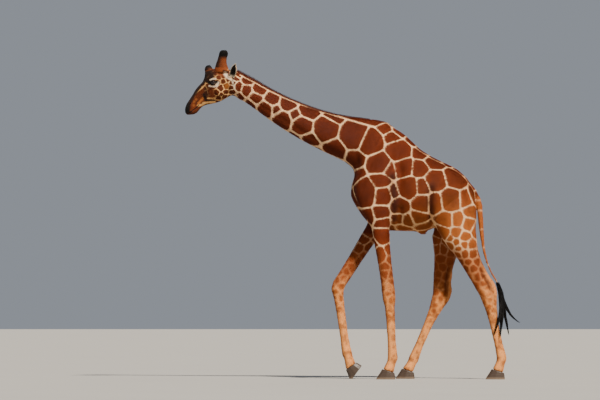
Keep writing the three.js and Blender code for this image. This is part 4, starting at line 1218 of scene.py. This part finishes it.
lash_finish = finish("lashes", dark_hair(dye(18, 13, 11), dye(30, 22, 18)))
RIM_THICK, LASH_LONG, LID_STEPS = 0.0019, 0.020, 48
turns = np.arange(LID_STEPS) * math.tau / LID_STEPS
upper = np.flatnonzero(np.sin(turns) > 0.15)
for node, flip in MIRRORS.items():
    along = EYE_LONG * np.cos(turns)
    up = EYE_HIGH * np.sign(np.sin(turns)) * np.abs(np.sin(turns)) ** 1.6
    toward = np.stack([along, up, np.sqrt(EYE_RADIUS**2 - along**2 - up**2)], axis=1) / EYE_RADIUS
    toward = toward @ EYE_FRAME
    line = (EYE_AT + toward * (EYE_RADIUS + 0.0012)) * flip
    rim = piece_of(f"lid_rim_{node}", ring_tube("lid_rim", line, RIM_THICK), skin_finish)

    strip_out = EYE_AT + toward[upper] * (EYE_RADIUS + 0.0022)
    places = np.concatenate([strip_out, strip_out + EYE_UP * 0.0022]) * flip
    fan = toward[upper] + EYE_UP * 0.15 + EYE_SLIT * (0.5 * np.cos(turns[upper]))[:, None]
    number, count = np.arange(len(places)), len(upper)
    layers = {"lie": np.tile(fan, (2, 1)) * flip, "cover_lash": np.ones(len(places))}
    layers["longer"] = np.full(len(places), LASH_LONG)
    strip = hair_strip("lash_strip", places, count, (number % count / count, number // count), **layers)
    lashes = {"Cover": "cover_lash", "Density": 700000.0, "Length": 1.0, "Width": 0.0009}
    lashes |= {"Lift": 0.0, "Stray": 0.10, "Bend": 1.5, "Joints": 2, "Seed": 50}
    grow_hair(f"lashes_{node}", strip, "hair_dark", Finish=lash_finish, **lashes)

# ------------------------------------------------------------------ mane
# A stiff brush of upright hair, red-brown and dark at its edge, grows from the crest of the neck
# between poll and withers, and leans a little towards the tail.
MANE_EDGE = np.array([  # x, z of its edge, and how deep it stands
    (-1.342, 3.590, 0.030), (-1.320, 3.608, 0.042), (-1.240, 3.568, 0.052), (-1.126, 3.508, 0.050),
    (-1.010, 3.436, 0.046), (-0.893, 3.368, 0.042), (-0.719, 3.282, 0.038), (-0.545, 3.210, 0.036),
    (-0.370, 3.148, 0.034), (-0.196, 3.099, 0.032), (-0.021, 3.066, 0.028), (0.118, 3.048, 0.024),
    (0.211, 3.034, 0.016),
])
MANE_LEAN, MANE_HALF = np.array((0.42, 0, 0.91)), 0.013
MANE_STEPS, MANE_COLUMNS = 150, 5
step = np.linspace(0, 1, MANE_STEPS)
edge_x, edge_z, deep = (np.interp(step * 12, np.arange(13), column) for column in MANE_EDGE.T)
places, lengths = [], []
for i in range(MANE_STEPS):
    for k in range(MANE_COLUMNS):
        y = MANE_HALF * (2 * k / (MANE_COLUMNS - 1) - 1)
        root = Vector((edge_x[i] - deep[i] * MANE_LEAN[0], y, edge_z[i] - deep[i] * MANE_LEAN[2]))
        hit = skin_tree.ray_cast(root + Vector(MANE_LEAN) * 0.03, -Vector(MANE_LEAN))[0] or root
        places.append(hit - Vector(MANE_LEAN) * 0.002)
        edge = Vector((edge_x[i], y, edge_z[i]))
        lengths.append((edge - hit).length * (1 - 0.25 * (y / MANE_HALF) ** 2))
row, column = np.divmod(np.arange(len(places)), MANE_COLUMNS)
layers = {"lie": np.tile(MANE_LEAN, (len(places), 1)), "longer": lengths}
layers["cover_mane"] = np.ones(len(places))
flat = row / MANE_STEPS, column / MANE_COLUMNS
crest = hair_strip("crest", np.array(places), MANE_COLUMNS, flat, **layers)
mane_finish = finish("mane_hair", dark_hair(dye(86, 32, 10), dye(18, 10, 7), (0.5, 0.95)))
brush_of = {"Cover": "cover_mane", "Density": 330000.0, "Length": 0.86, "Width": 0.0024}
brush_of |= {"Lift": 0.0, "Stray": 0.14, "Bend": 0.0, "Joints": 2, "Seed": 60}
mane = grow_hair("mane_brush", crest, "hair_dark", Finish=mane_finish, **brush_of)
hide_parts("mane")

# ------------------------------------------------------------------ tail tuft
# Long black wavy hairs hang from the end of the tail in four locks, swung aside by the stride.
TUFT_LOCKS = [  # x, y, z and radius along each lock
    [(1.682, -.100, 1.126, .017), (1.724, -.120, 1.000, .026), (1.732, -.150, .840, .026),
     (1.724, -.215, .680, .017), (1.708, -.256, .482, .003)],
    [(1.702, -.104, 1.080, .014), (1.742, -.130, .900, .018), (1.774, -.160, .700, .012),
     (1.812, -.190, .510, .003)],
    [(1.702, -.104, 1.080, .014), (1.748, -.118, .920, .015), (1.808, -.135, .780, .010),
     (1.874, -.150, .700, .006), (1.942, -.160, .652, .002)],
    [(1.714, -.110, 1.040, .014), (1.724, -.180, .880, .015), (1.694, -.262, .690, .010),
     (1.632, -.282, .505, .003)],
]
TUFT_HAIRS, HAIR_STEPS, HAIR_SIDES, HAIR_THICK = 400, 9, 3, 0.0018
tuft_rng = np.random.default_rng(5)
hair_places, hair_faces, hair_tone, hair_grow, hair_root = [], [], [], [], []
for lock_number, lock in enumerate(TUFT_LOCKS):
    lock = np.array(lock)
    for n in range(TUFT_HAIRS):
        first, last = tuft_rng.uniform(0, 0.25), tuft_rng.uniform(0.72, 1.0)
        t = np.linspace(first, last, HAIR_STEPS) * (len(lock) - 1)
        line = np.stack([np.interp(t, np.arange(len(lock)), column) for column in lock.T], axis=1)
        line[1:-1] = (line[:-2] + 2 * line[1:-1] + line[2:]) / 4
        aside = tuft_rng.normal(0, 0.5, 2).clip(-1.1, 1.1)
        wave = np.sin(np.linspace(0, tuft_rng.uniform(5, 9), HAIR_STEPS) + tuft_rng.uniform(0, 6))
        offset = np.outer(line[:, 3], (*aside, 0.0)) + np.outer(wave * 0.0035, tuft_rng.normal(0, 1, 3))
        centre = line[:, :3] + offset
        shade, spot = tuft_rng.random(), tuft_rng.random(2)
        base = len(hair_places)
        for i in range(HAIR_STEPS):
            thick = HAIR_THICK * (1 - (i / (HAIR_STEPS - 1)) ** 2 * 0.85)
            for k in range(HAIR_SIDES):
                turn = k * math.tau / HAIR_SIDES
                hair_places.append(centre[i] + (thick * math.cos(turn), thick * math.sin(turn), 0))
                hair_tone.append(shade)
                along = (i + 0.5 + 0.4 * math.sin(turn)) / HAIR_STEPS
                hair_grow.append((0.5 + 0.4 * math.cos(turn), along, 0))
                hair_root.append((0.02 + 0.24 * (lock_number + spot[0]), 0.02 + 0.95 * spot[1]))
        for i in range(HAIR_STEPS - 1):
            for k in range(HAIR_SIDES):
                a, b = base + i * HAIR_SIDES + k, base + i * HAIR_SIDES + (k + 1) % HAIR_SIDES
                hair_faces.append((a, a + HAIR_SIDES, b + HAIR_SIDES, b))
        last = len(hair_places) - 1
        hair_faces += [range(base, base + HAIR_SIDES), range(last, last - HAIR_SIDES, -1)]
tuft = bpy.data.meshes.new("tail_tuft")
tuft.from_pydata([tuple(place) for place in hair_places], [], hair_faces)
grow_of = np.array(hair_grow, np.float32)
flat = np.array(hair_root, np.float32) + grow_of[:, :2] * PATCH_SIZE
write(tuft, flat[np.concatenate(hair_faces)], tone=hair_tone, grow=grow_of)
form = form_of(tuft)
bmesh.ops.recalc_face_normals(form, faces=form.faces)
tuft = mesh_of(form, "tail_tuft")
tuft_finish = finish("tail_hair", dark_hair(dye(9, 7, 7), dye(13, 10, 9)), Specular_IOR_Level=0.15)
tuft_piece = piece_of("tail_hairs", tuft, tuft_finish)
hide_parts("tail_tuft")

# ------------------------------------------------------------------ hooves
# Each claw is a hard grey-brown horn box, ringed by its growth and worn pale and chipped at the
# ground, with a soft rim of skin where the hair of the foot ends.
CLAW_GRID = 0.0035


def claw_horn(start):
    place = start.node("ShaderNodeTexCoord", out=3)
    rings = place.stretched((6, 6, 230)).noise(1.0, 3.0)
    grain = place.stretched((240, 240, 30)).noise(1.0, 2.0)
    worn = 1 - (place.parts()[2] + rings * 0.02).ramp(0.008, 0.045)
    horn = start.colour(dye(62, 48, 38))
    colour = horn.mix((*dye(126, 104, 82), 1), worn * 0.75).scaled(0.62 + rings * 0.5 + grain * 0.26)
    bump = start.node("ShaderNodeBump", {}, {"Distance": 0.0012, "Height": rings * 1.5 + grain * 0.6})
    return {"Base Color": colour, "Roughness": 0.38 + worn * 0.35 + grain * 0.1, "Normal": bump}


claw_finish = finish("claw_horn", claw_horn)
for name in HOOVES:
    claw_mesh = cast_round([name], CLAW_GRID)
    form = form_of(claw_mesh)
    every_way = {f"use_axis_{axis}": True for axis in "xyz"}
    for _ in range(3):
        bmesh.ops.smooth_vert(form, verts=form.verts, factor=0.5, **every_way)
    claw_mesh = mesh_of(form, name)
    claw = piece_of(f"claw_{name}", claw_mesh, claw_finish)
    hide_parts(name)

# ------------------------------------------------------------------ floor, light and camera
# The animal stands on a plain pale floor that runs to the horizon, lit by one soft high lamp from
# the camera's side and a little from the rump, and by the pale room.
FLOOR_REACH = 160.0
floor_mesh = bpy.data.meshes.new("floor")
floor_corners = [(a * FLOOR_REACH, b * FLOOR_REACH, 0) for a, b in ((-1, -1), (1, -1), (1, 1), (-1, 1))]
floor_mesh.from_pydata(floor_corners, [], [(0, 1, 2, 3)])


def pale_floor(start):
    place = start.node("ShaderNodeTexCoord", out=3)
    cloud = place.noise(0.6, 4.0)
    grey = start.colour((0.37, 0.355, 0.33))
    return {"Base Color": grey.scaled(0.96 + cloud * 0.08), "Roughness": 0.75 + cloud * 0.15}


floor_mesh.materials.append(finish("pale_floor", pale_floor))
floor = bpy.data.objects.new("floor", floor_mesh)
scene.collection.objects.link(floor)
floor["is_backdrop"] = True

room = bpy.data.worlds.new("room")
scene.world = room
room.use_nodes = True
room_light = next(node for node in room.node_tree.nodes if node.type == "BACKGROUND")
room_light.inputs["Color"].default_value = (0.70, 0.76, 0.86, 1)
room_light.inputs["Strength"].default_value = 0.38

LAMP_FROM = Vector((0.42, -0.80, 0.95))
lamp = bpy.data.lights.new("high_lamp", "SUN")
lamp.energy, lamp.angle, lamp.color = 8.5, 0.08, (1.0, 0.92, 0.80)
lamp_stand = bpy.data.objects.new("high_lamp", lamp)
lamp_stand.rotation_euler = LAMP_FROM.to_track_quat("Z", "Y").to_euler()
scene.collection.objects.link(lamp_stand)

CAMERA_FAR, VIEW_WIDE = 42.0, 6.977
camera = bpy.data.cameras.new("camera")
camera.lens = camera.sensor_width * CAMERA_FAR / VIEW_WIDE
camera.clip_end = 600
tripod = bpy.data.objects.new("camera", camera)
tripod.location = (-0.605, -CAMERA_FAR, 0.73)
tripod.rotation_euler = (Vector((-0.605, 0, 2.081)) - tripod.location).to_track_quat("-Z", "Y").to_euler()
scene.collection.objects.link(tripod)
scene.camera = tripod

size = {"cad": cad_box, "visual": [list(corner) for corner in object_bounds()]}
